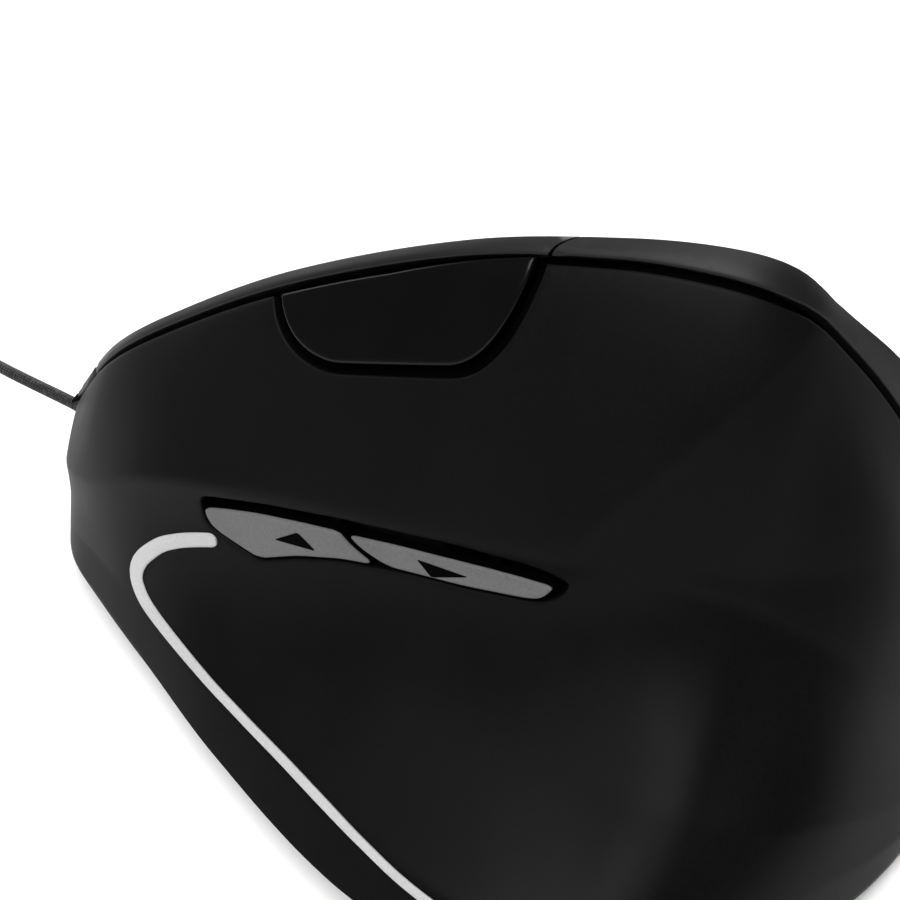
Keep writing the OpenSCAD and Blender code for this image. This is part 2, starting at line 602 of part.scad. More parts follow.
tyre_t = 2.5;
module wheel_hub() {
    color([0.3, 0.3, 0.31]) on_finger_face() translate([0, 0, wheel_z]) rotate([0, 90, 0]) difference() {
        cylinder(r = wheel_d / 2 - tyre_t, h = wheel_w - 0.6, center = true);
        cylinder(d = axle_d, h = wheel_w, center = true);
        for (i = [0:7]) rotate(45 * i) translate([5.2, 0, 0]) cylinder(d = 2.2, h = wheel_w, center = true);
    }
}
module wheel_tyre() {
    r = wheel_d / 2;
    h = wheel_w / 2;
    color([0.08, 0.08, 0.08]) on_finger_face() translate([0, 0, wheel_z]) rotate([0, 90, 0]) difference() {
        rotate_extrude() polygon([[r - tyre_t, -h + 0.3], [r - tyre_t + 0.3, -h], [r - 1, -h], [r, -h + 1],
            [r, h - 1], [r - 1, h], [r - tyre_t + 0.3, h], [r - tyre_t, h - 0.3]]);
        for (i = [0:23]) rotate(15 * i) translate([r + 0.2, 0, 0])
            cylinder(d = 1.2, h = wheel_w + 1, center = true);
    }
}
module wheel_axle() {
    reach = carrier_x + carrier_t + 0.5;
    color([0.75, 0.75, 0.77]) on_finger_face() translate([-reach, 0, wheel_z]) rotate([0, 90, 0])
        cylinder(d = axle_d, h = 2 * reach);
}
carrier_z = wheel_z - axle_d / 2 - 1.6;
tab_z = tact_top + tact_out + press_gap;
module wheel_carrier() {
    bar_y = [wheel_d / 2 + 0.5, guide_y + guide_r + 0.6];
    color([0.2, 0.2, 0.21]) on_finger_face() difference() {
        union() {
            for (e = [-1, 1]) {
                translate([e * (carrier_x + carrier_t / 2), 0, 0]) translate([-carrier_t / 2, -4, carrier_z])
                    cube([carrier_t, bar_y[1] + 4, axle_d + 3]);
                translate([e * guide_x, guide_y, plate_z - 0.5])
                    cylinder(r = guide_r, h = carrier_z - plate_z + 1);
            }
            translate([-carrier_x - carrier_t, bar_y[0], carrier_z])
                cube([2 * (carrier_x + carrier_t), bar_y[1] - bar_y[0], 3]);
            translate([-2, bar_y[0], tab_z]) cube([4, tact_y + 2 - bar_y[0], carrier_z + 2 - tab_z]);
        }
        translate([-20, 0, wheel_z]) rotate([0, 90, 0]) cylinder(r = axle_d / 2 + run_gap, h = 40);
    }
}
module wheel_encoder() {
    color([0.08, 0.08, 0.09]) on_finger_face() for (e = [-1, 1])
        translate([e * (wheel_w / 2 + 2.3), 0, 0]) centred([2, 5, 3.8], board_z);
}

// A small push switch and its plunger, both along z with the foot at 0.
module tact_body() {
    color([0.12, 0.12, 0.12]) difference() {
        centred([tact_w, tact_w, tact_h], 0);
        translate([0, 0, tact_h - 1.8]) cylinder(r = tact_r + run_gap, h = 2);
    }
}
module tact_plunger() {
    color([0.8, 0.8, 0.78]) translate([0, 0, tact_h - 1.1]) cylinder(r = tact_r, h = 1.1 + tact_out);
}
module wheel_switch() { on_finger_face() translate([0, tact_y, board_z]) tact_body(); }
module wheel_plunger() { on_finger_face() translate([0, tact_y, board_z]) tact_plunger(); }
module dpi_switch() { on_finger_face() translate([0, dpi_y, board_z]) tact_body(); }
module dpi_plunger() { on_finger_face() translate([0, dpi_y, board_z]) tact_plunger(); }
module dpi_button() {
    top = bezel_spot(dpi_y)[2] + wall + 0.8;
    color([0.3, 0.3, 0.31]) on_finger_face() translate([0, dpi_y, 0]) {
        centred([dpi_w, dpi_l, top - tab_z], tab_z);
        centred([dpi_w + 1.6, dpi_l + 1.6, 1.4], tab_z);
    }
}

module behind_thumb(i) {
    translate([thumb_board_x, thumb_push[i][0] * along, thumb_push[i][1] * up])
        rotate([0, -90, 0]) children();
}
module forward_switch() { behind_thumb(0) tact_body(); }
module forward_plunger() { behind_thumb(0) tact_plunger(); }
module back_switch() { behind_thumb(1) tact_body(); }
module back_plunger() { behind_thumb(1) tact_plunger(); }
module thumb_board() {
    color([0.05, 0.2, 0.09]) along_x(thumb_board_x, thumb_board_x + board_t)
        polygon(stretch([[18, 23], [18, 32.5], [4, 34], [0, 37], [-12, 37], [-12, 23]]));
}
module thumb_button(i, rows) {
    color([0.4, 0.4, 0.41]) union() {
        intersection() {
            shell(30, -20, 5.4, 7.2, rows, 6, -thumb_proud, wall + 0.6);
            along_x(-body_w / 2, thumb_x + 6)
                if (i == 0) polygon(forward_outline); else polygon(back_outline);
        }
        translate([thumb_x + wall - 0.4, thumb_push[i][0] * along - 2, thumb_push[i][1] * up - 1])
            cube([stem_end - thumb_x - wall + 0.4, 4, 2]);
    }
}
module forward_button() { thumb_button(0, 14); }
module back_button() { thumb_button(1, 14); }

// Cord: out of the nose cap through its grommet, straight ahead, down to the desk and into a
// coil that is held by a tie, with the plug beside it.
cord_turn = 14;
cord_exit = skin(59 * along, 14.7);
gland_r = 2.2;
gland_out = 5;
cord_way = [sin(cord_turn), cos(cord_turn), 0];
cord_sides = 8;
tie_t = 0.8;
tie_w = 4;
coil_at = [20, 160];
coil_mean = 6 * cord_d;
turn_pitch = cord_d + turn_gap;
coil_in = coil_mean - layer_turns * turn_pitch / 2;
coil_out = coil_mean + layer_turns * turn_pitch / 2;
coil_z = tie_t + 0.3 + cord_d / 2;
layers = 6;
turn_rings = 24;
coil_top = coil_z + (layers - 1) * turn_pitch;
coil_start = [coil_at[0] + coil_out, coil_at[1] - cord_d, coil_z];
coil_end = [coil_at[0] + coil_out, coil_at[1] + cord_d, coil_top];
gland_end = cord_exit + gland_out * cord_way;
cord_points = [gland_end, gland_end + 4 * cord_way, [17, 82, 11], [22, 100, 9.5], [27, 116, 5.5],
    [31, 130, 2.6], [34, 145, 2], coil_start - [0, 4, 0], coil_start];
plug_l = 20;
plug_w = 15.5;
plug_h = 8.4;
plug_face = [coil_end[0], 196, plug_h / 2];
tail_points = [coil_end, coil_end + [0, 4, 0], coil_end + [0.2, 13, -5], plug_face - [0, 6, 0], plug_face];

module cord_line() { translate(cord_exit) rotate([-90, 0, -cord_turn]) children(); }
// Rings of a round tube along points, square to the way between its neighbours.
function tube_rings(p, sides) = let(n = len(p) - 1) [for (i = [0:n])
    let(t = unit(p[min(i + 1, n)] - p[max(i - 1, 0)]), a = unit(cross(t, [0, 0, 1])), b = cross(a, t))
    for (j = [0:sides - 1]) p[i] + cord_d / 2 * (a * cos(360 * j / sides) + b * sin(360 * j / sides))];
function spaced(p, step) = let(n = len(p) - 1) [for (i = [0:n - 1])
    let(m = max(1, round(norm(p[i + 1] - p[i]) / step))) for (k = [0:m - 1]) route(p, i + k / m), p[n]];
module tube(points, sides) {
    polyhedron(tube_rings(points, sides), tube_faces(len(points), sides));
}
function coil_point(a) = let(per = 360 * layer_turns, k = min(floor(a / per), layers - 1), f = a / per - k,
    r = k % 2 == 0 ? coil_out - (coil_out - coil_in) * f : coil_in + (coil_out - coil_in) * f,
    climb = [for (m = [1:layers - 1]) clamp((a - m * per + 90) / 180)])
    [coil_at[0] + r * cos(a), coil_at[1] + r * sin(a), coil_z + turn_pitch * (climb * [for (m = climb) 1])];
coil_turns = layers * layer_turns;
coil_points = [coil_start, for (i = [0:coil_turns * turn_rings]) coil_point(360 * i / turn_rings), coil_end];
// Least gap of the coil to itself, between points that are more than a third of a turn apart.
function coil_gap() = let(p = coil_points, n = len(p) - 1) min([for (i = [0:n]) for (j = [i + 8:1:n])
    norm(p[i] - p[j])]) - cord_d;

module cord_grommet() {
    color([0.03, 0.03, 0.03]) cord_line() {
        translate([0, 0, -7]) cylinder(r = gland_r, h = 7 + gland_out);
        translate([0, 0, -6]) cylinder(r = gland_r + 1.2, h = 1.2);
        for (z = [1.4, 2.8]) translate([0, 0, z]) cylinder(r = gland_r + 0.3, h = 0.7);
    }
}
module cord() { color([0.05, 0.05, 0.05]) tube(spaced(cord_points, 3 * cord_d), cord_sides); }
module cord_coil() {
    echo(coil_gap = coil_gap());
    color([0.05, 0.05, 0.05]) tube(coil_points, 6);
}
module cord_tail() { color([0.05, 0.05, 0.05]) tube(spaced(tail_points, 2.5 * cord_d), cord_sides); }
module cord_tie() {
    low = [coil_in - cord_d / 2 - 0.9, tie_t];
    high = [coil_out + cord_d / 2 + 0.4, coil_top + cord_d / 2 + 0.3];
    color([0.1, 0.1, 0.1]) translate([coil_at[0], coil_at[1] + tie_w / 2, 0]) rotate([90, 0, 0])
        linear_extrude(tie_w) mirror([1, 0]) difference() {
            translate(low - [tie_t, tie_t]) square(high - low + 2 * [tie_t, tie_t]);
            translate(low) square(high - low);
        }
}
plug_neck = 8;
plug_r = 2;
shell_w = 12;
shell_h = 4.5;
shell_l = 12;
shell_t = 0.3;
tongue_h = 1.9;
module plug_body() {
    color([0.04, 0.04, 0.04]) translate(plug_face) rotate([-90, 0, 0]) {
        cylinder(d = 4.4, h = plug_neck);
        translate([0, 0, plug_neck]) linear_extrude(plug_l) {
            square([plug_w - 2 * plug_r, plug_h], center = true);
            square([plug_w, plug_h - 2 * plug_r], center = true);
            for (e = [-1, 1]) for (f = [-1, 1])
                translate([e * (plug_w / 2 - plug_r), f * (plug_h / 2 - plug_r)]) circle(r = plug_r);
        }
    }
}
module plug_shell() {
    color([0.8, 0.8, 0.82]) translate(plug_face + [0, plug_neck + plug_l, 0]) rotate([-90, 0, 0])
        linear_extrude(shell_l) difference() {
            square([shell_w, shell_h], center = true);
            square([shell_w - 2 * shell_t, shell_h - 2 * shell_t], center = true);
        }
}
module plug_tongue() {
    color([0.9, 0.9, 0.9]) translate(plug_face + [0, plug_neck + plug_l, 0])
        translate([-(shell_w - 2 * shell_t) / 2 + 0.1, 0, -shell_h / 2 + shell_t])
        cube([shell_w - 2 * shell_t - 0.2, shell_l - 0.6, tongue_h]);
}

base_plate();
front_glide_foot();
left_glide_foot();
right_glide_foot();
base_screws();
thumb_cover();
rear_cover();
finger_rest();
nose_cap();
wheel_bezel();
accent_strip();
chassis();
main_board();
board_screws();
optical_sensor();
sensor_lens();
sensor_led();
controller_chip();
capacitor();
cord_header();
ribbon_cable();
button_board();
hinge_pin();
left_button();
left_button_flap();
left_button_arm();
right_button();
right_button_arm();
left_switch();
left_plunger();
right_switch();
right_plunger();
wheel_hub();
wheel_tyre();
wheel_axle();
wheel_carrier();
wheel_switch();
wheel_plunger();
wheel_encoder();
dpi_button();
dpi_switch();
dpi_plunger();
forward_button();
back_button();
thumb_board();
forward_switch();
forward_plunger();
back_switch();
back_plunger();
cord_grommet();
cord();
cord_coil();
cord_tail();
cord_tie();
plug_body();
plug_shell();
plug_tongue();
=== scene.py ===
import math
import bpy
import numpy as np
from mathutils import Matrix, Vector
from mathutils.geometry import delaunay_2d_cdt


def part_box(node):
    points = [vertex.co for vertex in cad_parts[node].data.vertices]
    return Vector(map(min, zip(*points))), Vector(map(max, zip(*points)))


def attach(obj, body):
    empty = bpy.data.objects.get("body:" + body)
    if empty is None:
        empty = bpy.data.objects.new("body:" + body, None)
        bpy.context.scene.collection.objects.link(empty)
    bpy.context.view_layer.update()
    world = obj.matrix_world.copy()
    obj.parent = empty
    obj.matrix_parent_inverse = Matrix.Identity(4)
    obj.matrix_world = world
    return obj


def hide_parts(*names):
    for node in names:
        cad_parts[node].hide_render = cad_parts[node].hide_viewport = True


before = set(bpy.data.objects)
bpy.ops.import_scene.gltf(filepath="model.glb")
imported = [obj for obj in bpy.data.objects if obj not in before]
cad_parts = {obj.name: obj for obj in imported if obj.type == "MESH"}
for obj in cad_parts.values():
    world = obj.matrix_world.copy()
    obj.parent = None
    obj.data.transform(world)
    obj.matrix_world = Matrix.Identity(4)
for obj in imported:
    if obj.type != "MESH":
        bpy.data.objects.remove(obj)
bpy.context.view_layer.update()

bpy.ops.object.select_all(action="DESELECT")


# Camera. It stands behind the thumb side and looks down on the mouse, at the angle and
# distance from which the mouse was photographed.
camera_yaw = math.radians(24.1)
camera_pitch = math.radians(40.3)
camera_way = Vector((
    math.cos(camera_yaw) * math.cos(camera_pitch),
    math.sin(camera_yaw) * math.cos(camera_pitch),
    -math.sin(camera_pitch),
))
bpy.ops.object.camera_add(location=(-0.1024, -0.0451, 0.1316))
camera = bpy.context.object
camera.name = "desk_camera"
camera.rotation_euler = camera_way.to_track_quat("-Z", "Y").to_euler()
camera.data.lens = 52.84
camera.data.sensor_width = 36
camera.data.clip_start = 0.005
bpy.context.scene.camera = camera


# Cord. A thin wire in a braided sleeve, 1.8 mm thick, that leaves the nose, falls to the desk
# and is wound into a coil of six layers, with the plug on its far end.
MM = 0.001
CORD_D = 1.8
CORD_SIDES = 12
EXIT = np.array([11.8259, 59, 11.5918])
EXIT_TURN = math.radians(14)
EXIT_WAY = np.array([math.sin(EXIT_TURN), math.cos(EXIT_TURN), 0])
GLAND_OUT = 5
COIL_AT = np.array([20.0, 160.0])
TURN_PITCH = CORD_D + 0.5
LAYER_TURNS = 3.5
LAYERS = 6
TURN_STEPS = 48
ROUTE_STEP = 1.5
COIL_MEAN = 6 * CORD_D
COIL_IN = COIL_MEAN - LAYER_TURNS * TURN_PITCH / 2
COIL_OUT = COIL_MEAN + LAYER_TURNS * TURN_PITCH / 2
TIE_T = 0.8
COIL_Z = TIE_T + 0.3 + CORD_D / 2
COIL_TOP = COIL_Z + (LAYERS - 1) * TURN_PITCH
PLUG_H = 8.4
PLUG_FACE = np.array([COIL_AT[0] + COIL_OUT, 196, PLUG_H / 2])


def smooth_route(points, step):
    """Points at even steps on a smooth line through the given points."""
    p = np.array(points, float)
    line = []
    for i in range(len(p) - 1):
        a, b = p[max(i - 1, 0)], p[i]
        c, d = p[i + 1], p[min(i + 2, len(p) - 1)]
        count = max(2, round(np.linalg.norm(c - b) / step))
        u = (np.arange(count) / count)[:, None]
        line.append((2 * b + (c - a) * u + (2 * a - 5 * b + 4 * c - d) * u ** 2
                     + (3 * b - a - 3 * c + d) * u ** 3) / 2)
    return np.concatenate(line + [p[-1:]])


def coil_point(turn):
    """Point of the coil after some turns; the layers spiral in and out by turns."""
    layer = min(int(turn / LAYER_TURNS), LAYERS - 1)
    share = turn / LAYER_TURNS - layer
    radius = COIL_OUT + (COIL_IN - COIL_OUT) * (share if layer % 2 == 0 else 1 - share)
    climb = sum(min(1, max(0, (turn - m * LAYER_TURNS) * 2 + 0.5)) for m in range(1, LAYERS))
    angle = 2 * math.pi * turn
    return [COIL_AT[0] + radius * math.cos(angle), COIL_AT[1] + radius * math.sin(angle),
            COIL_Z + TURN_PITCH * climb]


gland_end = EXIT + GLAND_OUT * EXIT_WAY
coil_start = np.array([COIL_AT[0] + COIL_OUT, COIL_AT[1] - CORD_D, COIL_Z])
coil_end = np.array([COIL_AT[0] + COIL_OUT, COIL_AT[1] + CORD_D, COIL_TOP])
lead = smooth_route([gland_end, gland_end + 4 * EXIT_WAY, [17, 82, 11], [22, 100, 9.5], [27, 116, 5.5],
                     [31, 130, 2.6], [34, 145, 2], coil_start - [0, 4, 0], coil_start], ROUTE_STEP)
coil_steps = round(LAYERS * LAYER_TURNS * TURN_STEPS)
turns = np.array([coil_point(i / TURN_STEPS) for i in range(coil_steps + 1)])
tail = smooth_route([coil_end, coil_end + [0, 4, 0], coil_end + [0.2, 13, -5], PLUG_FACE - [0, 6, 0],
                     PLUG_FACE], ROUTE_STEP)
cord_line = np.concatenate([lead, turns, tail])


def grid_sheet(name, across, along):
    """A flat grid primitive as a new object, with its corner-to-corner shares of each vertex."""
    bpy.ops.object.select_all(action="DESELECT")
    bpy.ops.mesh.primitive_grid_add(x_subdivisions=across, y_subdivisions=along, size=2)
    sheet = bpy.context.object
    sheet.name = name
    flat = np.empty(len(sheet.data.vertices) * 3)
    sheet.data.vertices.foreach_get("co", flat)
    share = (flat.reshape(-1, 3)[:, :2] + 1) / 2
    return sheet, share[:, 0], share[:, 1]


def set_points(piece, points):
    """Moves the vertices of a piece to points in millimetres."""
    piece.data.vertices.foreach_set("co", (np.asarray(points) * MM).astype(np.float32).ravel())
    piece.data.update()


def close_mesh(piece):
    """Merges the seams of a piece, fills its ends, turns its faces outwards and shades it smooth."""
    bpy.ops.object.select_all(action="DESELECT")
    piece.select_set(True)
    bpy.context.view_layer.objects.active = piece
    bpy.ops.object.mode_set(mode="EDIT")
    bpy.ops.mesh.select_all(action="SELECT")
    bpy.ops.mesh.remove_doubles(threshold=1e-6)
    bpy.ops.mesh.fill_holes(sides=0)
    bpy.ops.mesh.select_all(action="SELECT")
    bpy.ops.mesh.normals_make_consistent(inside=False)
    bpy.ops.object.mode_set(mode="OBJECT")
    bpy.ops.object.shade_smooth_by_angle(angle=math.radians(40))


def swept(name, line, ring, frame_up):
    """A tube along a line of points: ring gives the offsets (side, up) at each point of the line."""
    way = np.gradient(line, axis=0)
    way /= np.linalg.norm(way, axis=1)[:, None]
    side = np.cross(way, frame_up)
    side /= np.linalg.norm(side, axis=1)[:, None]
    up = np.cross(side, way)
    count = ring.shape[1]
    tube, around, along = grid_sheet(name, count, len(line) - 1)
    j = np.rint(around * count).astype(int) % count
    i = np.rint(along * (len(line) - 1)).astype(int)
    off = ring[i, j]
    set_points(tube, line[i] + side[i] * off[:, :1] + up[i] * off[:, 1:])
    close_mesh(tube)
    return tube


def circle(sides):
    """Points of a round ring of radius 1."""
    angle = 2 * np.pi * np.arange(sides) / sides
    return np.stack([np.cos(angle), np.sin(angle)], axis=1)


def new_finish(name, roughness, specular=0.5):
    """A material with its node tree and shader, to be given its pattern."""
    finish = bpy.data.materials.new(name)
    finish.use_nodes = True
    shader = finish.node_tree.nodes["Principled BSDF"]
    shader.inputs["Roughness"].default_value = roughness
    shader.inputs["Specular IOR Level"].default_value = specular
    return finish, finish.node_tree, shader


def node(tree, kind, **inputs):
    """A node with some of its inputs set or linked; i0 is the first input, and _ stands for a space."""
    made = tree.nodes.new(kind)
    for key, value in inputs.items():
        socket = made.inputs[int(key[1:])] if key[1:].isdigit() else made.inputs[key.replace("_", " ")]
        if isinstance(value, bpy.types.NodeSocket):
            tree.links.new(value, socket)
        else:
            socket.default_value = value
    return made


def maths(tree, operation, a, b=0.0):
    """One step of arithmetic on two values or sockets."""
    made = node(tree, "ShaderNodeMath", i0=a, i1=b)
    made.operation = operation
    return made.outputs[0]


def ramp(tree, value, *stops):
    """A colour ramp with stops of (place, grey or colour)."""
    made = node(tree, "ShaderNodeValToRGB", Fac=value)
    while len(made.color_ramp.elements) < len(stops):
        made.color_ramp.elements.new(0.5)
    for element, (place, colour) in zip(made.color_ramp.elements, stops):
        element.position = place
        element.color = (*colour, 1) if isinstance(colour, tuple) else (colour, colour, colour, 1)
    return made.outputs["Color"]


cord_length = np.linalg.norm(np.diff(cord_line, axis=0), axis=1).sum() * MM
cord_ring = np.repeat(CORD_D / 2 * circle(CORD_SIDES)[None], len(cord_line), axis=0)
cord = swept("braided_cord", cord_line, cord_ring, [0, 0, 1])
braid, tree, shader = new_finish("braided_sleeve", 0.62, 0.3)
uv = tree.nodes.new("ShaderNodeUVMap").outputs["UV"]
parts = node(tree, "ShaderNodeSeparateXYZ", Vector=uv)
strand = maths(tree, "MULTIPLY", parts.outputs["X"], 2 * math.pi * 8)
lay = maths(tree, "MULTIPLY", parts.outputs["Y"], 2 * math.pi * cord_length / (0.6 * CORD_D * MM))
left_lay = maths(tree, "SINE", maths(tree, "ADD", strand, lay))
right_lay = maths(tree, "SINE", maths(tree, "SUBTRACT", strand, lay))
weave = maths(tree, "MULTIPLY", left_lay, right_lay)
spot = node(tree, "ShaderNodeTexCoord").outputs["Object"]
fleck = node(tree, "ShaderNodeTexNoise", Vector=spot, Scale=1400.0, Detail=1.0).outputs["Fac"]
shade = maths(tree, "ADD", maths(tree, "MULTIPLY", weave, 0.25), fleck)
tree.links.new(ramp(tree, shade, (0.45, 0.003), (0.62, 0.01), (0.8, 0.06)), shader.inputs["Base Color"])
bump = node(tree, "ShaderNodeBump", Height=weave, Strength=0.6, Distance=0.0002)
tree.links.new(bump.outputs["Normal"], shader.inputs["Normal"])


def place_piece(piece, finish, body, slot, *nodes):
    """Gives a piece its finish and its body, and hides the solids that it stands for. The slot is not used.
    """
    if finish.name not in piece.data.materials:
        piece.data.materials.append(finish)
    if nodes:
        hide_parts(*nodes)
    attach(piece, body)


place_piece(cord, braid, "base", "cord", "cord", "cord_coil", "cord_tail")


# Strain relief. A black rubber sleeve is moulded round the cord and held in the nose by its
# flange; outside it tapers down to the cord in small ribs, so that it bends softly.
GLAND_IN = 7
GLAND_R = 2.2
GLAND_TAPER = 0.16
RIB_PITCH = 1.25
RIB_RISE = 0.2


def moulded(name, dark, light, roughness, specular, grain=0.0004, depth=0.00002):
    """Moulded plastic or rubber: a fine eroded grain, a faint mottle and slightly uneven gloss."""
    finish, tree, shader = new_finish(name, roughness, specular)
    spot = node(tree, "ShaderNodeTexCoord").outputs["Object"]
    fine = node(tree, "ShaderNodeTexNoise", Vector=spot, Scale=1 / grain, Detail=2.0, Roughness=0.6)
    broad = node(tree, "ShaderNodeTexNoise", Vector=spot, Scale=70.0, Detail=2.0)
    mottle = maths(tree, "ADD", maths(tree, "MULTIPLY", fine.outputs["Fac"], 0.7),
                   maths(tree, "MULTIPLY", broad.outputs["Fac"], 0.3))
    tree.links.new(ramp(tree, mottle, (0.35, dark), (0.65, light)), shader.inputs["Base Color"])
    gloss = node(tree, "ShaderNodeMapRange", Value=broad.outputs["Fac"], From_Min=0.3, From_Max=0.7,
                 To_Min=roughness - 0.04, To_Max=roughness + 0.04)
    tree.links.new(gloss.outputs["Result"], shader.inputs["Roughness"])
    bump = node(tree, "ShaderNodeBump", Height=fine.outputs["Fac"], Strength=0.5, Distance=depth)
    tree.links.new(bump.outputs["Normal"], shader.inputs["Normal"])
    return finish


def turned(name, foot, way, profile, sides=40):
    """A round piece along a way from a foot: profile gives places along it and their radii."""
    profile = np.array(profile, float)
    line = foot + profile[:, :1] * way
    return swept(name, line, profile[:, 1][:, None, None] * circle(sides), [0, 0, 1])


gland_profile = [[-GLAND_IN, GLAND_R - 0.2], [0.2 - GLAND_IN, GLAND_R], [-6, GLAND_R], [-5.9, GLAND_R + 1.1],
                 [-5.8, GLAND_R + 1.2], [-5, GLAND_R + 1.2], [-4.9, GLAND_R + 1.1], [-4.8, GLAND_R]]
for place in np.linspace(0, GLAND_OUT, 61):
    rib = RIB_RISE * min(1, max(0, 1.5 * math.sin(2 * math.pi * place / RIB_PITCH)))
    gland_profile.append([place, GLAND_R - RIB_RISE - GLAND_TAPER * place + rib])
gland = turned("cord_strain_relief", EXIT, EXIT_WAY, gland_profile)
soft_rubber = moulded("soft_rubber", 0.008, 0.014, 0.7, 0.25, 0.0003)
place_piece(gland, soft_rubber, "base", "rubber", "cord_grommet")


# Coil tie. A flat woven strap, 4 mm wide and 0.8 mm thick, that is closed round one side of
# the coil and keeps its turns together.
TIE_BEND = 1.2


def block(name, low, high):
    """A cube primitive that is brought to two corners in millimetres."""
    bpy.ops.object.select_all(action="DESELECT")
    bpy.ops.mesh.primitive_cube_add(size=1)
    piece = bpy.context.object
    piece.name = name
    corner = np.array([v.co for v in piece.data.vertices]) + 0.5
    set_points(piece, np.array(low) + corner * (np.array(high) - np.array(low)))
    return piece


def soften(piece, width, steps):
    """Rounds the edges of a piece by a width in millimetres."""
    edge = piece.modifiers.new("edge", "BEVEL")
    edge.width = width * MM
    edge.segments = steps
    edge.limit_method = "ANGLE"
    edge.angle_limit = math.radians(30)
    bpy.ops.object.modifier_apply(modifier="edge")
    bpy.ops.object.shade_smooth_by_angle(angle=math.radians(40))


def pick_faces(piece, wanted):
    """Selects the faces of a piece whose normals are wanted and opens it for editing."""
    bpy.ops.object.mode_set(mode="EDIT")
    bpy.ops.mesh.select_mode(type="FACE")
    bpy.ops.mesh.select_all(action="DESELECT")
    bpy.ops.object.mode_set(mode="OBJECT")
    for face in piece.data.polygons:
        face.select = bool(wanted(face.normal))
    bpy.ops.object.mode_set(mode="EDIT")


tie = block("coil_tie", *(np.array(corner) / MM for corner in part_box("cord_tie")))
pick_faces(tie, lambda normal: abs(normal.y) > 0.9)
bpy.ops.mesh.delete(type="FACE")
bpy.ops.object.mode_set(mode="OBJECT")
soften(tie, TIE_BEND, 4)
strap = tie.modifiers.new("strap", "SOLIDIFY")
strap.thickness = TIE_T * MM
bpy.ops.object.modifier_apply(modifier="strap")
soften(tie, 0.2, 2)
strap_black = moulded("woven_strap", 0.006, 0.02, 0.9, 0.15, 0.0006, 0.00012)
place_piece(tie, strap_black, "base", "rubber", "cord_tie")


# Plug. A black rubber body with a ribbed neck and a sunk grip on both sides is moulded round
# the plated shell and the white contact block.
PLUG_NECK = 8
PLUG_L = 20
PLUG_W = 15.5
PLUG_R = 1.4
GRIP_IN = 2.4
GRIP_SINK = 0.4
NECK_R = 1.2
NECK_GROW = 0.9
NECK_PITCH = 2
ALONG_Y = np.array([0.0, 1.0, 0.0])


def join(piece, *others):
    """Makes several objects one."""
    bpy.ops.object.select_all(action="DESELECT")
    for part in (piece, *others):
        part.select_set(True)
    bpy.context.view_layer.objects.active = piece
    bpy.ops.object.join()


def dress(finish, *nodes):
    """Gives carried-over nodes a finish."""
    for name in nodes:
        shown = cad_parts[name]
        if not shown.material_slots:
            shown.data.materials.append(finish)
        for held in shown.material_slots:
            held.material = finish


def plated(name, colour, roughness):
    """Plated metal with fine drawn lines."""
    finish, tree, shader = new_finish(name, roughness)
    shader.inputs["Metallic"].default_value = 1.0
    spot = node(tree, "ShaderNodeTexCoord").outputs["Object"]
    turned_way = node(tree, "ShaderNodeMapping", Vector=spot, Scale=(300.0, 300.0, 4000.0)).outputs["Vector"]
    drawn = node(tree, "ShaderNodeTexNoise", Vector=turned_way, Scale=1.0, Detail=2.0).outputs["Fac"]
    pale = tuple(min(1.0, c * 1.15) for c in colour)
    tree.links.new(ramp(tree, drawn, (0.3, colour), (0.7, pale)), shader.inputs["Base Color"])
    uneven = node(tree, "ShaderNodeMapRange", Value=drawn, To_Min=roughness - 0.06, To_Max=roughness + 0.08)
    tree.links.new(uneven.outputs["Result"], shader.inputs["Roughness"])
    return finish


plug_back = PLUG_FACE + [0, PLUG_NECK, 0]
plug = block("plug_grip", plug_back - [PLUG_W / 2, 0, PLUG_H / 2],
             plug_back + [PLUG_W / 2, PLUG_L, PLUG_H / 2])
pick_faces(plug, lambda normal: abs(normal.z) > 0.9)
bpy.ops.mesh.inset(thickness=GRIP_IN * MM, depth=0)
bpy.ops.mesh.inset(thickness=GRIP_SINK * MM, depth=-GRIP_SINK * MM)
bpy.ops.object.mode_set(mode="OBJECT")
soften(plug, PLUG_R, 4)
neck_profile = []
for place in np.linspace(0, PLUG_NECK + 0.5, 69):
    rib = RIB_RISE * min(1, max(0, 1.5 * math.sin(2 * math.pi * place / NECK_PITCH)))
    neck_profile.append([place, NECK_R + NECK_GROW * place / PLUG_NECK + rib])
join(plug, turned("plug_neck", PLUG_FACE, ALONG_Y, neck_profile))
place_piece(plug, soft_rubber, "base", "rubber", "plug_body")
dress(plated("plug_plating", (0.62, 0.62, 0.64), 0.22), "plug_shell")
dress(moulded("contact_white", 0.62, 0.7, 0.45, 0.4), "plug_tongue")


# Base plate, glide feet and base screws. A flat black moulding closes the mouse below; three
# slippery pale pads are glued under it and three steel screws hold the frame.
dress(moulded("base_black", 0.007, 0.014, 0.55, 0.3), "base_plate")
dress(moulded("slippery_pad", 0.50, 0.58, 0.35, 0.4, 0.0008), "front_glide_foot", "left_glide_foot",
      "right_glide_foot")
screw_steel = plated("screw_steel", (0.42, 0.42, 0.44), 0.3)
dress(screw_steel, "base_screws", "board_screws", "hinge_pin", "wheel_axle")


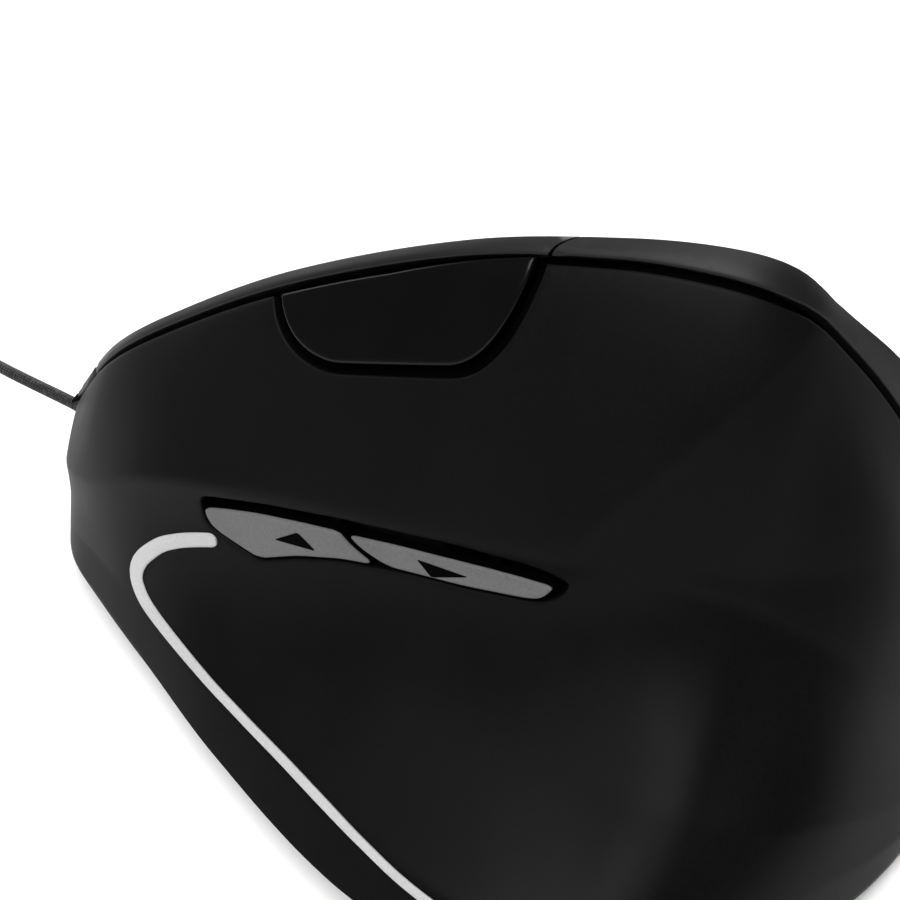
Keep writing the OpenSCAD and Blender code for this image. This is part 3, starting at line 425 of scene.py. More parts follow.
# Inside. Two green boards and a black one with their chips, switches and header, the lens and
# lamp of the sensor, and the dark frame that carries them. All of it sits under the covers.
def solder_mask(name, lacquer, trace_shade):
    """A board: dark lacquer over copper traces that run square to each other."""
    finish, tree, shader = new_finish(name, 0.3)
    spot = node(tree, "ShaderNodeTexCoord").outputs["Object"]
    cells = node(tree, "ShaderNodeTexVoronoi", Vector=spot, Scale=420.0)
    cells.distance = "CHEBYCHEV"
    trace = cells.outputs["Distance"]
    tree.links.new(ramp(tree, trace, (0.25, lacquer), (0.4, trace_shade)), shader.inputs["Base Color"])
    bump = node(tree, "ShaderNodeBump", Height=trace, Strength=0.3, Distance=0.00005)
    tree.links.new(bump.outputs["Normal"], shader.inputs["Normal"])
    return finish


dress(solder_mask("board_green", (0.012, 0.07, 0.025), (0.03, 0.16, 0.06)), "main_board", "button_board")
dress(solder_mask("board_black", 0.001, 0.004), "thumb_board")
frame_black = moulded("frame_black", 0.004, 0.007, 0.6, 0.2)
dress(frame_black, "chassis", "left_button_arm", "right_button_arm", "wheel_carrier")
chip_black = moulded("chip_black", 0.006, 0.012, 0.45, 0.4, 0.0002)
dress(chip_black, "optical_sensor", "controller_chip", "wheel_encoder", "left_switch", "right_switch",
      "wheel_switch", "dpi_switch", "forward_switch", "back_switch", "capacitor")
dress(moulded("header_cream", 0.55, 0.68, 0.5, 0.4), "cord_header", "ribbon_cable")
dress(moulded("plunger_red", (0.42, 0.02, 0.012), (0.55, 0.04, 0.025), 0.4, 0.5), "left_plunger",
      "right_plunger")
dress(moulded("plunger_pale", 0.5, 0.62, 0.4, 0.5), "wheel_plunger", "dpi_plunger", "forward_plunger",
      "back_plunger")
dress(moulded("lamp_red", (0.4, 0.01, 0.01), (0.55, 0.02, 0.02), 0.12, 0.5), "sensor_led")
lens_clear, tree, shader = new_finish("lens_clear", 0.08)
shader.inputs["Transmission Weight"].default_value = 0.9
spot = node(tree, "ShaderNodeTexCoord").outputs["Object"]
haze = node(tree, "ShaderNodeTexNoise", Vector=spot, Scale=300.0).outputs["Fac"]
tree.links.new(ramp(tree, haze, (0.3, (0.75, 0.8, 0.86)), (0.7, (0.9, 0.94, 0.97))),
               shader.inputs["Base Color"])
dress(lens_clear, "sensor_lens")


# Wheel. A rubber tyre with 24 grooves is pressed on a dark hub that turns on a steel axle
# between the finger buttons.
FACE_LEAN = math.radians(56)
FACE_FALL = math.radians(18)
FACE_X = np.array([math.cos(FACE_LEAN), 0, -math.sin(FACE_LEAN)])
FACE_Z = np.array([math.sin(FACE_LEAN) * math.cos(FACE_FALL), math.sin(FACE_FALL),
                   math.cos(FACE_LEAN) * math.cos(FACE_FALL)])
FACE_Y = np.cross(FACE_Z, FACE_X)
WHEEL_AT = np.array([19.8143, 28, 31.6591])
WHEEL_Z = -7
TYRE_PROFILE = np.array([[-3, 8.5], [-3.3, 8.8], [-3.3, 9.9], [-3.15, 10.4], [-2.8, 10.75], [-2.2, 10.92],
                         [-1.1, 10.98], [0, 11], [1.1, 10.98], [2.2, 10.92], [2.8, 10.75], [3.15, 10.4],
                         [3.3, 9.9], [3.3, 8.8], [3, 8.5], [0, 8.5]])
GROOVES = 24
GROOVE_STEPS = 10
GROOVE_DEPTH = 0.45


def on_face(local):
    """Points from the finger face's own axes: across, along and out of it."""
    local = np.asarray(local, float)
    return WHEEL_AT + local[..., :1] * FACE_X + local[..., 1:2] * FACE_Y + local[..., 2:] * FACE_Z


tyre, across, along = grid_sheet("wheel_tread", len(TYRE_PROFILE), GROOVES * GROOVE_STEPS)
ring_at = TYRE_PROFILE[np.rint(across * len(TYRE_PROFILE)).astype(int) % len(TYRE_PROFILE)]
wheel_turn = 2 * np.pi * along
groove = GROOVE_DEPTH * np.clip(2.5 * np.cos(GROOVES * wheel_turn) - 1.2, 0, 1)
tread_r = ring_at[:, 1] - groove * np.clip((ring_at[:, 1] - 9.9) / 0.8, 0, 1)
set_points(tyre, on_face(np.stack([ring_at[:, 0], tread_r * np.cos(wheel_turn),
                                   WHEEL_Z + tread_r * np.sin(wheel_turn)], axis=1)))
close_mesh(tyre)
place_piece(tyre, soft_rubber, "wheel", "rubber", "wheel_tyre")
dress(moulded("hub_dark", 0.012, 0.02, 0.45, 0.4), "wheel_hub")


# Thumb cover. One black moulding from the lip on the desk, up the thumb scoop and over the
# crease to the ridge seam, with a slot for the thumb buttons and a half-moon window.
STATION = np.array([60, 48, 36, 20, 0, -16, -26, -32, -36, -48, -60.0])
FOOT_IN = 2
FOOT_Z = 1
LIP_Z = 3.2
SHELF_Z = 4
LIP_X = [-9, -11.3, -17.4, -26.4, -35.5, -39, -39, -38, -37, -32.5, -29.5]
RIM_IN = [1.5, 2, 2.5, 4, 4.4, 3.6, 3.5, 3.5, 3.5, 3.5, 3]
RIM_Z = [5.5, 9, 9, 8.5, 8.5, 8.5, 8.5, 9, 9, 9, 4.5]
SCOOP_IN = [0, 0, 0.4, 1.8, 2.8, 2.8, 1.8, 0.7, 0, -1.2, 0]
CREASE_X = [-4, -8, -10.5, -11.2, -11.5, -11.5, -11.5, -11.5, -11.6, -12.5, -6]
CREASE_Z = [14, 21, 28, 32, 34.5, 36.5, 36.5, 35.5, 34.2, 27.5, 8.5]
CREASE_DROP = [4, 6, 6.5, 7, 7, 7, 7, 7.4, 7.7, 8, 2]
LOW_OUT = [0.5, 0.3, 0, -0.3, -0.5, -0.5, 0.5, 1.6, 2.4, 4, 4]
FACET_X = [0, -4, -5, -5.5, -5.8, -5.6, -5.4, -5, -5, -5, 0]
FACET_Z = [17, 27.5, 36.5, 43, 48.5, 51.5, 52, 51, 49.3, 38, 10.5]
CREST_X = [6.5, 3, 2.5, 2.5, 3, 3.5, 4, 5, 6.4, 11.5, 13.5]
CREST_Z = [20.5, 35, 44.2, 53.8, 62.2, 66.1, 67.2, 66, 62.3, 46.6, 14]
CREST_SOFT = [2.5, 2.5, 2.5, 2.5, 2.5, 3, 3.6, 4.2, 4.2, 7.5, 8]
CREST_FALL = [2, 2, 2, 2, 2, 2.6, 3.6, 3.5, 1.8, 7, 1.8]
SHELF_X = [21.5, 26.5, 30.5, 35, 38.3, 39.2, 39.2, 39, 38.7, 37.5, 36.5]
FINGER_SIDE = [(0.30, 0.16), (0.58, 0.38), (0.80, 0.66), (0.86, 0.86)]
WEIGHT = [1, 2, 2, 1, 1, 2, 1, 1, 2, 1, 1, 1, 1, 2, 1]
HALF_L = 60
TIP_Y = 59.99
NOSE_START = 40
HEEL_START = -28
NOSE_X = 7.5
HEEL_X = 11.5
NOSE_FULL = 2.5
BLUNT = 0.02
PALM_Y = -16.6
PALM_Z = 37
PALM_LEAN = 0.75
PALM_STEP = 0.4
PALM_TURN = 0.22
PALM_LOW_V = 5
PALM_HIGH_V = 13.5
SEAM_V = 10.4
SHELF_V = 19.0
HALF_GAP = 0.45
WALL = 1.5
EDGE_R = 0.3
EDGE_RINGS = (0.13, 0.45, 1)
ALL_ENDS = (1, 1, 1, 1)


def body_line(values, y):
    """One of the lines that run from nose to heel, smooth through its stations."""
    q = np.array(values, float)
    slope = np.gradient(q)
    slope[0], slope[-1] = q[1] - q[0], q[-1] - q[-2]
    reach = np.gradient(STATION)
    reach[0], reach[-1] = STATION[1] - STATION[0], STATION[-1] - STATION[-2]
    slope = slope / reach
    i = np.clip(np.searchsorted(-STATION, -y, side="right") - 1, 0, len(q) - 2)
    h = STATION[i + 1] - STATION[i]
    s = (y - STATION[i]) / h
    return (q[i] * (1 + 2 * s) * (1 - s) ** 2 + slope[i] * h * s * (1 - s) ** 2
            + q[i + 1] * s * s * (3 - 2 * s) + slope[i + 1] * h * s * s * (s - 1))


def eased(share):
    """A share from 0 to 1 that starts and stops softly."""
    share = np.clip(share, 0, 1)
    return share ** 2 * (3 - 2 * share)


def skin(y, v):
    """Points of the outer face at y and at v, the place across the section from lip to shelf."""
    y, v = np.broadcast_arrays(np.asarray(y, float), np.asarray(v, float))
    shape = y.shape
    y, v = y.ravel(), v.ravel()
    rows, back = np.unique(np.round(y, 6), return_inverse=True)
    lip = body_line(LIP_X, rows)
    rim = np.stack([lip + body_line(RIM_IN, rows), body_line(RIM_Z, rows)], axis=1)
    crease = np.stack([body_line(CREASE_X, rows), body_line(CREASE_Z, rows)], axis=1)
    low = crease - np.stack([body_line(LOW_OUT, rows), body_line(CREASE_DROP, rows)], axis=1)
    scoop = (rim + low) / 2 + np.array([1, -1]) * body_line(SCOOP_IN, rows)[:, None]
    facet = np.stack([body_line(FACET_X, rows), body_line(FACET_Z, rows)], axis=1)
    crest = np.stack([body_line(CREST_X, rows), body_line(CREST_Z, rows)], axis=1)
    soft = crest - np.stack([body_line(CREST_SOFT, rows), body_line(CREST_FALL, rows)], axis=1)
    shelf_x = body_line(SHELF_X, rows)
    level = np.ones(len(rows))
    shelf = np.stack([shelf_x, SHELF_Z * level], axis=1)
    fall = shelf - crest
    points = [np.stack([lip + FOOT_IN, FOOT_Z * level], axis=1), np.stack([lip, LIP_Z * level], axis=1), rim,
              scoop, low, crease, facet, soft, crest]
    points += [crest + fall * np.array(f) for f in FINGER_SIDE]
    points += [shelf, np.stack([shelf_x - FOOT_IN, FOOT_Z * level], axis=1)]
    nose = np.clip((rows - NOSE_START) / (HALF_L - NOSE_START), 0, 1)
    heel = np.clip((HEEL_START - rows) / (HEEL_START + HALF_L), 0, 1)
    close = np.maximum(BLUNT, (1 - nose ** NOSE_FULL) ** (1 / NOSE_FULL) * np.sqrt(1 - heel ** 2))
    middle = np.where(rows > 0, NOSE_X, HEEL_X)
    control = np.repeat(np.stack(points, axis=1), WEIGHT, axis=1)
    control[:, :, 0] = middle[:, None] + (control[:, :, 0] - middle[:, None]) * close[:, None]
    last = control.shape[1] - 1
    j = np.clip(np.floor(v), 0, last - 1).astype(int)
    s = (v - j)[:, None]
    at = [control[back, np.clip(j + k, 0, last)] for k in (-1, 0, 1, 2)]
    p = ((1 - s) ** 3 * at[0] + (3 * s ** 3 - 6 * s ** 2 + 4) * at[1]
         + (-3 * s ** 3 + 3 * s ** 2 + 3 * s + 1) * at[2] + s ** 3 * at[3]) / 6
    turn = np.maximum(0, PALM_Y - PALM_LEAN * np.maximum(0, p[:, 1] - PALM_Z) - y)
    palm = PALM_STEP * turn ** 2 / (turn ** 2 + 1) + PALM_TURN * turn ** 2 / (turn + 3)
    palm *= np.clip((v - PALM_LOW_V) / 2, 0, 1) * eased((PALM_HIGH_V - v) / 3) * close[back] ** 2
    return np.stack([p[:, 0] + palm, y, p[:, 1]], axis=1).reshape(shape + (3,))


def skin_out(y, v):
    """Outward direction of the outer face."""
    rise = skin(y, v + 0.04) - skin(y, v - 0.04)
    run = skin(np.minimum(y + 0.2, TIP_Y), v) - skin(np.maximum(y - 0.2, -TIP_Y), v)
    out = np.cross(rise, run)
    return out / np.linalg.norm(out, axis=-1)[..., None]


def v_per_mm(y, v):
    """Share of v that a millimetre across takes."""
    return 0.2 / np.linalg.norm(skin(y, v + 0.1) - skin(y, v - 0.1), axis=-1)


def shift_v(v_edge, mm):
    """An edge that stays some millimetres across from a line of v."""
    def edge(y):
        v = end_at(v_edge, y)
        return v + mm * v_per_mm(y, v)
    return edge


def end_at(end, x):
    """An end of a panel, a number or a function, at some places."""
    return end(x) if callable(end) else np.full(np.shape(x), float(end))


def bend(a, b, c):
    """A curved stretch of an outline from a to c, drawn towards b."""
    s = np.linspace(0, 1, 9)[:, None]
    return (np.array(a) * (1 - s) ** 2 + np.array(b) * 2 * s * (1 - s) + np.array(c) * s ** 2).tolist()


def rounded(outline, step, corner):
    """An outline with its corners cut off twice, and points at even steps along it."""
    p = np.array(outline, float)
    for cut in (corner, 0.4 * corner):
        way = np.roll(p, -1, axis=0) - p
        share = np.minimum(0.25, cut / np.linalg.norm(way, axis=1))[:, None]
        p = np.stack([p + way * share, p + way * (1 - share)], axis=1).reshape(-1, 2)
    fine = []
    for a, b in zip(p, np.roll(p, -1, axis=0)):
        count = max(1, math.ceil(np.linalg.norm(b - a) / step))
        fine += [a + (b - a) * k / count for k in range(count)]
    return np.array(fine)


def outline_depth(p, y, z):
    """Signed distance to a closed outline in y and z, negative inside."""
    q = np.roll(p, -1, axis=0)
    depth = np.full(y.shape, 1e3)
    near = (y > p[:, 0].min() - 3) & (y < p[:, 0].max() + 3)
    near &= (z > p[:, 1].min() - 3) & (z < p[:, 1].max() + 3)
    spot = np.stack([y[near], z[near]], axis=-1)[:, None, :]
    way = q - p
    s = np.clip(((spot - p) * way).sum(-1) / (way ** 2).sum(-1), 0, 1)
    gap = np.linalg.norm(spot - p - s[..., None] * way, axis=-1).min(axis=-1)
    over = (p[:, 1] > spot[..., 1]) != (q[:, 1] > spot[..., 1])
    rise = np.where(way[:, 1] == 0, 1e-9, way[:, 1])
    left = spot[..., 0] < p[:, 0] + (spot[..., 1] - p[:, 1]) * way[:, 0] / rise
    depth[near] = np.where((over & left).sum(axis=-1) % 2 == 1, -gap, gap)
    return depth


arc_v = np.linspace(-0.5, 19.5, 801)
arc_mm = np.concatenate([[0], np.cumsum(np.linalg.norm(np.diff(skin(0.0, arc_v), axis=0), axis=1))])


def to_plane(y, v):
    """The shell laid flat, so that its points can be joined to triangles."""
    return np.stack([HALF_L * np.arccos(np.clip(y / HALF_L, -1, 1)), np.interp(v, arc_v, arc_mm)], axis=-1)


def from_plane(p):
    """The y and v of points of the flat shell."""
    return HALF_L * np.cos(p[..., 0] / HALF_L), np.interp(p[..., 1], arc_mm, arc_v)


def panel(name, y_ends, v_ends, step, cuts=(), out=0.0, wall=WALL, soft=EDGE_R, soft_ends=ALL_ENDS,
          corner=0.7, finishes=()):
    """A moulded panel of the body between two y and two v, with its free edges rounded.

    The ends are numbers or functions; a cut is an outline in y and z with True where its inside goes.
    The last of the finishes is that of the walls."""
    corners = []
    for y_end in y_ends:
        for v_end in v_ends:
            y = np.array([0.0])
            for _ in range(6):
                y = end_at(y_end, end_at(v_end, y))
            corners.append(y[0])
    share = np.linspace(0, 1, round((max(corners) - min(corners)) / step) + 2)
    sides = []
    for k in (0, 1):
        turn = np.arccos(np.array([corners[k], corners[2 + k]]) / HALF_L)
        y = HALF_L * np.cos(turn[0] * (1 - share) + turn[1] * share)
        sides.append(np.stack([y, end_at(v_ends[k], y)], axis=1))
    caps = []
    for k in (0, -1):
        low, high = sides[0][k], sides[1][k]
        flat = np.interp([low[1], high[1]], arc_v, arc_mm)
        v = np.interp(np.linspace(*flat, max(3, round(2 * abs(flat[1] - flat[0]) / step))), arc_mm, arc_v)
        caps.append(np.stack([end_at(y_ends[0 if k == 0 else 1], v), v], axis=1))
    loop = np.concatenate([sides[0][:-1], caps[1][:-1], sides[1][::-1][:-1], caps[0][::-1][:-1]])
    loops = [to_plane(loop[:, 0], loop[:, 1])]
    low, high = loops[0].min(axis=0), loops[0].max(axis=0)
    cells = np.meshgrid(*(np.arange(low[k] + step / 2, high[k], step) for k in (0, 1)))
    spots = np.stack([c.ravel() for c in cells], axis=1)

    rings = []
    depths = [part * soft for part in EDGE_RINGS if soft]
    for depth in depths:
        for k, mm in ((0, depth), (1, -depth)):
            if soft_ends[2 + k]:
                y = sides[k][:, 0]
                rings.append((to_plane(y, shift_v(v_ends[k], mm)(y)), False))
            if soft_ends[k]:
                v = caps[k][:, 1]
                rings.append((to_plane(end_at(y_ends[k], v) - mm, v), False))
    outlines = []
    for outline, inside_goes in cuts:
        p = rounded(outline, 0.6 * step, corner)
        outlines.append((p, 1 if inside_goes else -1))
        way = np.roll(p, -1, axis=0) - np.roll(p, 1, axis=0)
        turn = np.sign((p[:, 0] * np.roll(p[:, 1], -1) - p[:, 1] * np.roll(p[:, 0], -1)).sum())
        aside = turn * np.stack([way[:, 1], -way[:, 0]], axis=1) / np.linalg.norm(way, axis=1)[:, None]
        for depth in [0] + depths:
            line = p + aside * depth * outlines[-1][1]
            low_v, high_v = end_at(v_ends[0], line[:, 0]) - 0.1, end_at(v_ends[1], line[:, 0]) + 0.3
            for _ in range(26):
                v = (low_v + high_v) / 2
                below = skin(line[:, 0], v)[:, 2] < line[:, 1]
                low_v, high_v = np.where(below, v, low_v), np.where(below, high_v, v)
            if depth:
                rings.append((to_plane(line[:, 0], v), True))
            else:
                loops.append(to_plane(line[:, 0], v))

    def room(p, ends):
        """Millimetres from points of the flat shell to the nearest cut or counted end of the panel."""
        y, v = from_plane(p)
        scale = 1 / v_per_mm(y, v)
        gaps = np.stack([end_at(y_ends[0], v) - y, y - end_at(y_ends[1], v),
                         (v - end_at(v_ends[0], y)) * scale, (end_at(v_ends[1], y) - v) * scale])
        gap = np.where(np.array(ends)[:, None] > 0, gaps, 1e3).min(axis=0)
        q = skin(y, v)
        for outline, sign in outlines:
            gap = np.minimum(gap, sign * outline_depth(outline, q[:, 1], q[:, 2]))
        return gap

    spots = spots[room(spots, ALL_ENDS) > max(1.5 * soft, 0.5 * step)]
    points, links = [], []
    for ring in loops:
        first = len(points)
        points += ring.tolist()
        links += [(first + k, first + (k + 1) % len(ring)) for k in range(len(ring))]
    for ring, closed in rings:
        kept = np.flatnonzero(room(ring, ALL_ENDS) > 0.1 * soft)
        first = len(points)
        points += ring[kept].tolist()
        links += [(first + k, first + k + 1) for k in range(len(kept) - 1) if kept[k + 1] == kept[k] + 1]
        if closed and len(kept) == len(ring):
            links.append((first + len(ring) - 1, first))
    points += spots.tolist()
    flat, _, faces, *_ = delaunay_2d_cdt([Vector(p) for p in points], links, [], 0, 1e-5)
    flat, faces = np.array([tuple(p) for p in flat]), np.array([f for f in faces if len(f) == 3])
    faces = faces[room(flat[faces].mean(axis=1), ALL_ENDS) > 0]
    used, faces = np.unique(faces, return_inverse=True)
    faces = faces.reshape(-1, 3)
    flat = flat[used]
    y, v = from_plane(flat)
    outward = skin_out(y, v)
    lowered = np.clip(room(flat, soft_ends), 0, soft)
    drop = soft - np.sqrt(np.maximum(0, soft ** 2 - (soft - lowered) ** 2))
    place = skin(y, v) + (out - drop)[:, None] * outward
    a, b, c = (place[faces[:, k]] for k in range(3))
    if (np.cross(b - a, c - a) * outward[faces[:, 0]]).sum() < 0:
        faces = faces[:, ::-1]
    inner = skin(y, v) + (out - wall) * outward
    inner[:, 1] = np.clip(inner[:, 1], -TIP_Y, TIP_Y)
    count = len(place)
    border = np.concatenate([faces[:, [0, 1]], faces[:, [1, 2]], faces[:, [2, 0]]])
    border = border[~np.isin(border @ [count, 1], border @ [1, count])]
    rim = np.concatenate([border[:, ::-1], border + count], axis=1)
    bpy.ops.object.select_all(action="DESELECT")
    mesh = bpy.data.meshes.new(name)
    mesh.from_pydata((np.concatenate([place, inner]) * MM).tolist(), [],
                     faces.tolist() + (faces[:, ::-1] + count).tolist() + rim.tolist())
    for finish in finishes:
        mesh.materials.append(finish)
    for k in range(len(faces), len(mesh.polygons)):
        mesh.polygons[k].material_index = max(0, len(finishes) - 1)
    sheet = bpy.data.objects.new(name, mesh)
    bpy.context.collection.objects.link(sheet)
    sheet.select_set(True)
    bpy.context.view_layer.objects.active = sheet
    bpy.ops.object.shade_smooth_by_angle(angle=math.radians(40))
    return sheet


MOON_WINDOW = ([[24, 60], [22.4, 52]] + bend([22.2, 51], [19.5, 46], [12.5, 46.7])
               + bend([-1.5, 50.4], [-7.2, 52], [-9, 62]) + [[-9.2, 70]])
THUMB_SLOT = [[27.5, 28.5], [26.2, 29], [18, 30.9], [8.6, 32.5], [-4.3, 34], [-13.4, 34.4], [-16.6, 34],
              [-17.8, 33.2], [-17.2, 31.8], [-15.2, 30.3], [-13.3, 29.8], [-6.4, 28.7], [0.3, 28],
              [4.3, 27.3], [8.9, 26.5], [14.4, 24.8], [19.6, 22.5], [22.8, 23.2], [26.1, 24.1],
              [27.4, 25.5]]
COVER_STEP = 0.75
cover_black = moulded("cover_black", 0.0015, 0.003, 0.45, 0.07, 0.00035, 0.000012)
thumb_cover = panel("thumb_side_cover", (TIP_Y, -TIP_Y), (0.0, shift_v(SEAM_V, -HALF_GAP)), COVER_STEP,
                    [(MOON_WINDOW, True), (THUMB_SLOT, True)], soft_ends=(0, 0, 0, 1))
place_piece(thumb_cover, cover_black, "base", "cover", "thumb_cover")


# Accent strip. A light grey satin inlay, 1 to 2.5 mm wide and a little proud, runs from the
# thumb buttons round the front of the scoop and back along the rim.
STRIP_ROUTE = [[25.6, 5.9, 1.15], [28.5, 5.82, 1.2], [31.5, 5.7, 1.2], [34.4, 5.5, 1.25], [37.2, 5.1, 1.4],
               [38.1, 4.7, 1.6], [37.2, 4.35, 1.5], [34.8, 4.05, 1.2], [30, 3.8, 0.95], [23, 3.62, 0.75],
               [16, 3.58, 0.7], [9, 3.58, 0.7], [2.5, 3.46, 0.7], [-3, 3.24, 0.65], [-9, 2.98, 0.65],
               [-16, 2.85, 0.65], [-26, 2.8, 0.65], [-36, 2.8, 0.65], [-44, 2.9, 0.65]]
STRIP_W = 1.6
STRIP_PROUD = 0.25
STRIP_SINK = 0.6
STRIP_STEP = 0.35
STRIP_TIP = 0.9
STRIP_PROFILE = np.array([[-1, -1], [-1, 0], [-1, 0.45], [-0.93, 0.8], [-0.78, 0.97], [-0.4, 1], [0, 1],
                          [0.4, 1], [0.78, 0.97], [0.93, 0.8], [1, 0.45], [1, 0], [1, -1], [0, -1]])
strip_way = smooth_route(STRIP_ROUTE, STRIP_STEP)
strip_line = skin(strip_way[:, 0], strip_way[:, 1])
strip_up = skin_out(strip_way[:, 0], strip_way[:, 1])
strip_run = np.concatenate([[0], np.cumsum(np.linalg.norm(np.diff(strip_line, axis=0), axis=1))])
strip_end = np.minimum(strip_run, strip_run[-1] - strip_run)
strip_round = np.sqrt(1 - 0.85 * np.clip(1 - strip_end / STRIP_TIP, 0, 1) ** 2)
strip_half = STRIP_W * strip_way[:, 2] / 2 * strip_round
strip_ring = np.empty((len(strip_line), len(STRIP_PROFILE), 2))
strip_ring[:, :, 0] = STRIP_PROFILE[:, 0] * strip_half[:, None]
strip_ring[:, :, 1] = np.where(STRIP_PROFILE[:, 1] < 0, STRIP_SINK, STRIP_PROUD) * STRIP_PROFILE[:, 1]
strip = swept("accent_inlay", strip_line, strip_ring, strip_up)
strip_grey = moulded("satin_light_grey", 0.42, 0.5, 0.42, 0.4, 0.0003, 0.000006)
place_piece(strip, strip_grey, "base", "silver_trim", "accent_strip")


# Thumb buttons. Two grey keys in one slot, forward and back, moulded with a fine grain, each
# with a black arrow printed on it and a stem to its switch. Their walls and stems are near-black:
# painted shade, so that the slot round the keys reads dark.
FORWARD_KEY = [[27.1, 27.1], [26.9, 25.7], [25.8, 24.4], [22.8, 23.5], [19.6, 22.8], [14.4, 25.1],
               [8.9, 26.8], [4.6, 27.6], [6.9, 28.6], [8.2, 29.5], [9.1, 30.5], [14.1, 29.9],
               [19.3, 29.1], [24.1, 28]]
BACK_KEY = [[7.9, 30.5], [7, 29.6], [5.6, 28.8], [2.9, 28], [0.3, 28.3], [-6.4, 29], [-13.3, 30.1],
            [-14.9, 30.6], [-15.7, 31.6], [-16.2, 32.6], [-11.8, 32.4], [-7.8, 32.1], [1.6, 31.3]]
FORWARD_MARK = [[17.5, 26.2], [14.4, 28.4], [12, 26.7]]
BACK_MARK = [[-0.5, 30.4], [-2.4, 28.7], [-6.7, 30.3]]
KEY_V = (5.2, 7.4)
KEY_PROUD = 0.15
KEY_T = 1.4
KEY_EDGE_R = 0.25
KEY_STEP = 0.5
MARK_V = (5.4, 7.3)
MARK_PROUD = KEY_PROUD + 0.03
MARK_T = 0.1
MARK_STEP = 0.3
STEM_X = (-9.8, -6.77)
key_grey = moulded("key_grey", 0.1, 0.14, 0.55, 0.3, 0.00022, 0.000015)
# Near-black and almost unreflecting: real print on the arrows; painted shade on key walls, stems, seam
# tongues and tray.
print_and_painted_shade_black = moulded("print_and_painted_shade_black", 0.0005, 0.001, 0.7, 0.02, 0.0003)
for key_name, node_name, outline, push, mark in (
        ("forward_key", "forward_button", FORWARD_KEY, (15, 27.4), FORWARD_MARK),
        ("back_key", "back_button", BACK_KEY, (-5, 30.4), BACK_MARK)):
    reach = (max(p[0] for p in outline) + 1, min(p[0] for p in outline) - 1)
    # The key's walls take the near-black finish as painted shade in the slot.
    key = panel(key_name, reach, KEY_V, KEY_STEP, [(outline, False)], KEY_PROUD, KEY_T, KEY_EDGE_R,
                finishes=(key_grey, print_and_painted_shade_black))
    # The stem is near-black as painted shade seen through the slot.
    stem = block("stem", (STEM_X[0], push[0] - 2, push[1] - 1), (STEM_X[1], push[0] + 2, push[1] + 1))
    soften(stem, 0.3, 2)
    stem.data.materials.append(print_and_painted_shade_black)
    join(key, stem)
    place_piece(key, key_grey, node_name, "grey_button", node_name)
    reach = (max(p[0] for p in mark) + 1, min(p[0] for p in mark) - 1)
    inlay = panel(key_name + "_mark", reach, MARK_V, MARK_STEP, [(mark, False)], MARK_PROUD, MARK_T, 0,
                  corner=0.2)
    place_piece(inlay, print_and_painted_shade_black, node_name, "gloss_cover")


# Left button and its half-moon flap. The button is the upper finger key with the front of the
# ridge band; the polished flap is moulded to its edge and fills the window of the thumb cover.
# Thin black tongues are fixed behind the ridge seam and those of the finger side, against light;
# their near-black, unreflecting finish is painted shade that keeps the seams dark.
SPLIT_Y = -9
SPLIT_GAP = 0.35
SPLIT_SLANT = 2.6
SLANT_V = 1.2
SLANT_BACK_V = 11.6
SLANT_BACK = 1.6
NOSE_CUT_Y = 53
BEZEL_HALF = 6
BEZEL_EDGE = BEZEL_HALF + HALF_GAP
REST_V = 1.6
BUTTON_STEP = 0.8
FLAP_Y = (24.5, -9.5)
FLAP_LOW_V = 8.5
FLAP_STEP = 0.5
FLAP_CLOSE_Y = -2
FLAP_CLOSE_L = 10
TONGUE_T = 0.6
TONGUE_STEP = 1.2
TONGUE_DEPTH = 2.2
TONGUE_BELOW = TONGUE_DEPTH + TONGUE_T + 0.1
TONGUE_END_V = 18.6
RIDGE_TONGUE_Y = -50
RIDGE_TONGUE_V = (8.0, 10.9)
SPLIT_LAP = 3
NOSE_LAP = 1.8
REST_LAP = 1.6
CAD_WALL = 2
MOON_FLAP = ([[23, 60], [21.5, 52]] + bend([21.2, 51.2], [18.5, 47], [12.5, 47.7])
             + bend([-1.2, 51.5], [-5.6, 53], [-7.6, 61.4]) + [[-8.2, 70]])
line_y = np.linspace(NOSE_CUT_Y + 2, SPLIT_Y - 4, 140)
low_v, high_v = np.full(line_y.shape, SEAM_V), np.full(line_y.shape, SHELF_V)
for _ in range(20):
    line_v = (low_v + high_v) / 2
    under = (skin(line_y, line_v) - CAD_WALL * skin_out(line_y, line_v) - WHEEL_AT) @ FACE_X < 0
    low_v, high_v = np.where(under, line_v, low_v), np.where(under, high_v, line_v)


def wheel_line(y):
    """The v where the wheel's plane meets the shell."""
    return np.interp(-np.asarray(y, float), -line_y, line_v)


def rest_line(y):
    """The v where the right button ends below the wheel."""
    return wheel_line(y) + REST_V


def split_line(v):
    """The y where the finger buttons end: it slants back over the ridge."""
    v = np.asarray(v, float)
    return SPLIT_Y - SPLIT_SLANT * (eased((v - SEAM_V) / SLANT_V) - eased((v - SLANT_BACK_V) / SLANT_BACK))


def flap_edge(y):
    """Upper edge of the flap: it closes on the button towards the rear."""
    gap = HALF_GAP * np.clip((np.asarray(y, float) - FLAP_CLOSE_Y) / FLAP_CLOSE_L, -0.95, 1)
    return shift_v(SEAM_V, HALF_GAP)(y) - (HALF_GAP + gap) * v_per_mm(y, np.full(np.shape(y), SEAM_V))


def tongue(name, y_ends, v_ends, depth):
    """A thin sheet that follows the shell at some depth below it."""
    return panel(name, y_ends, v_ends, TONGUE_STEP, (), -depth, TONGUE_T, 0)


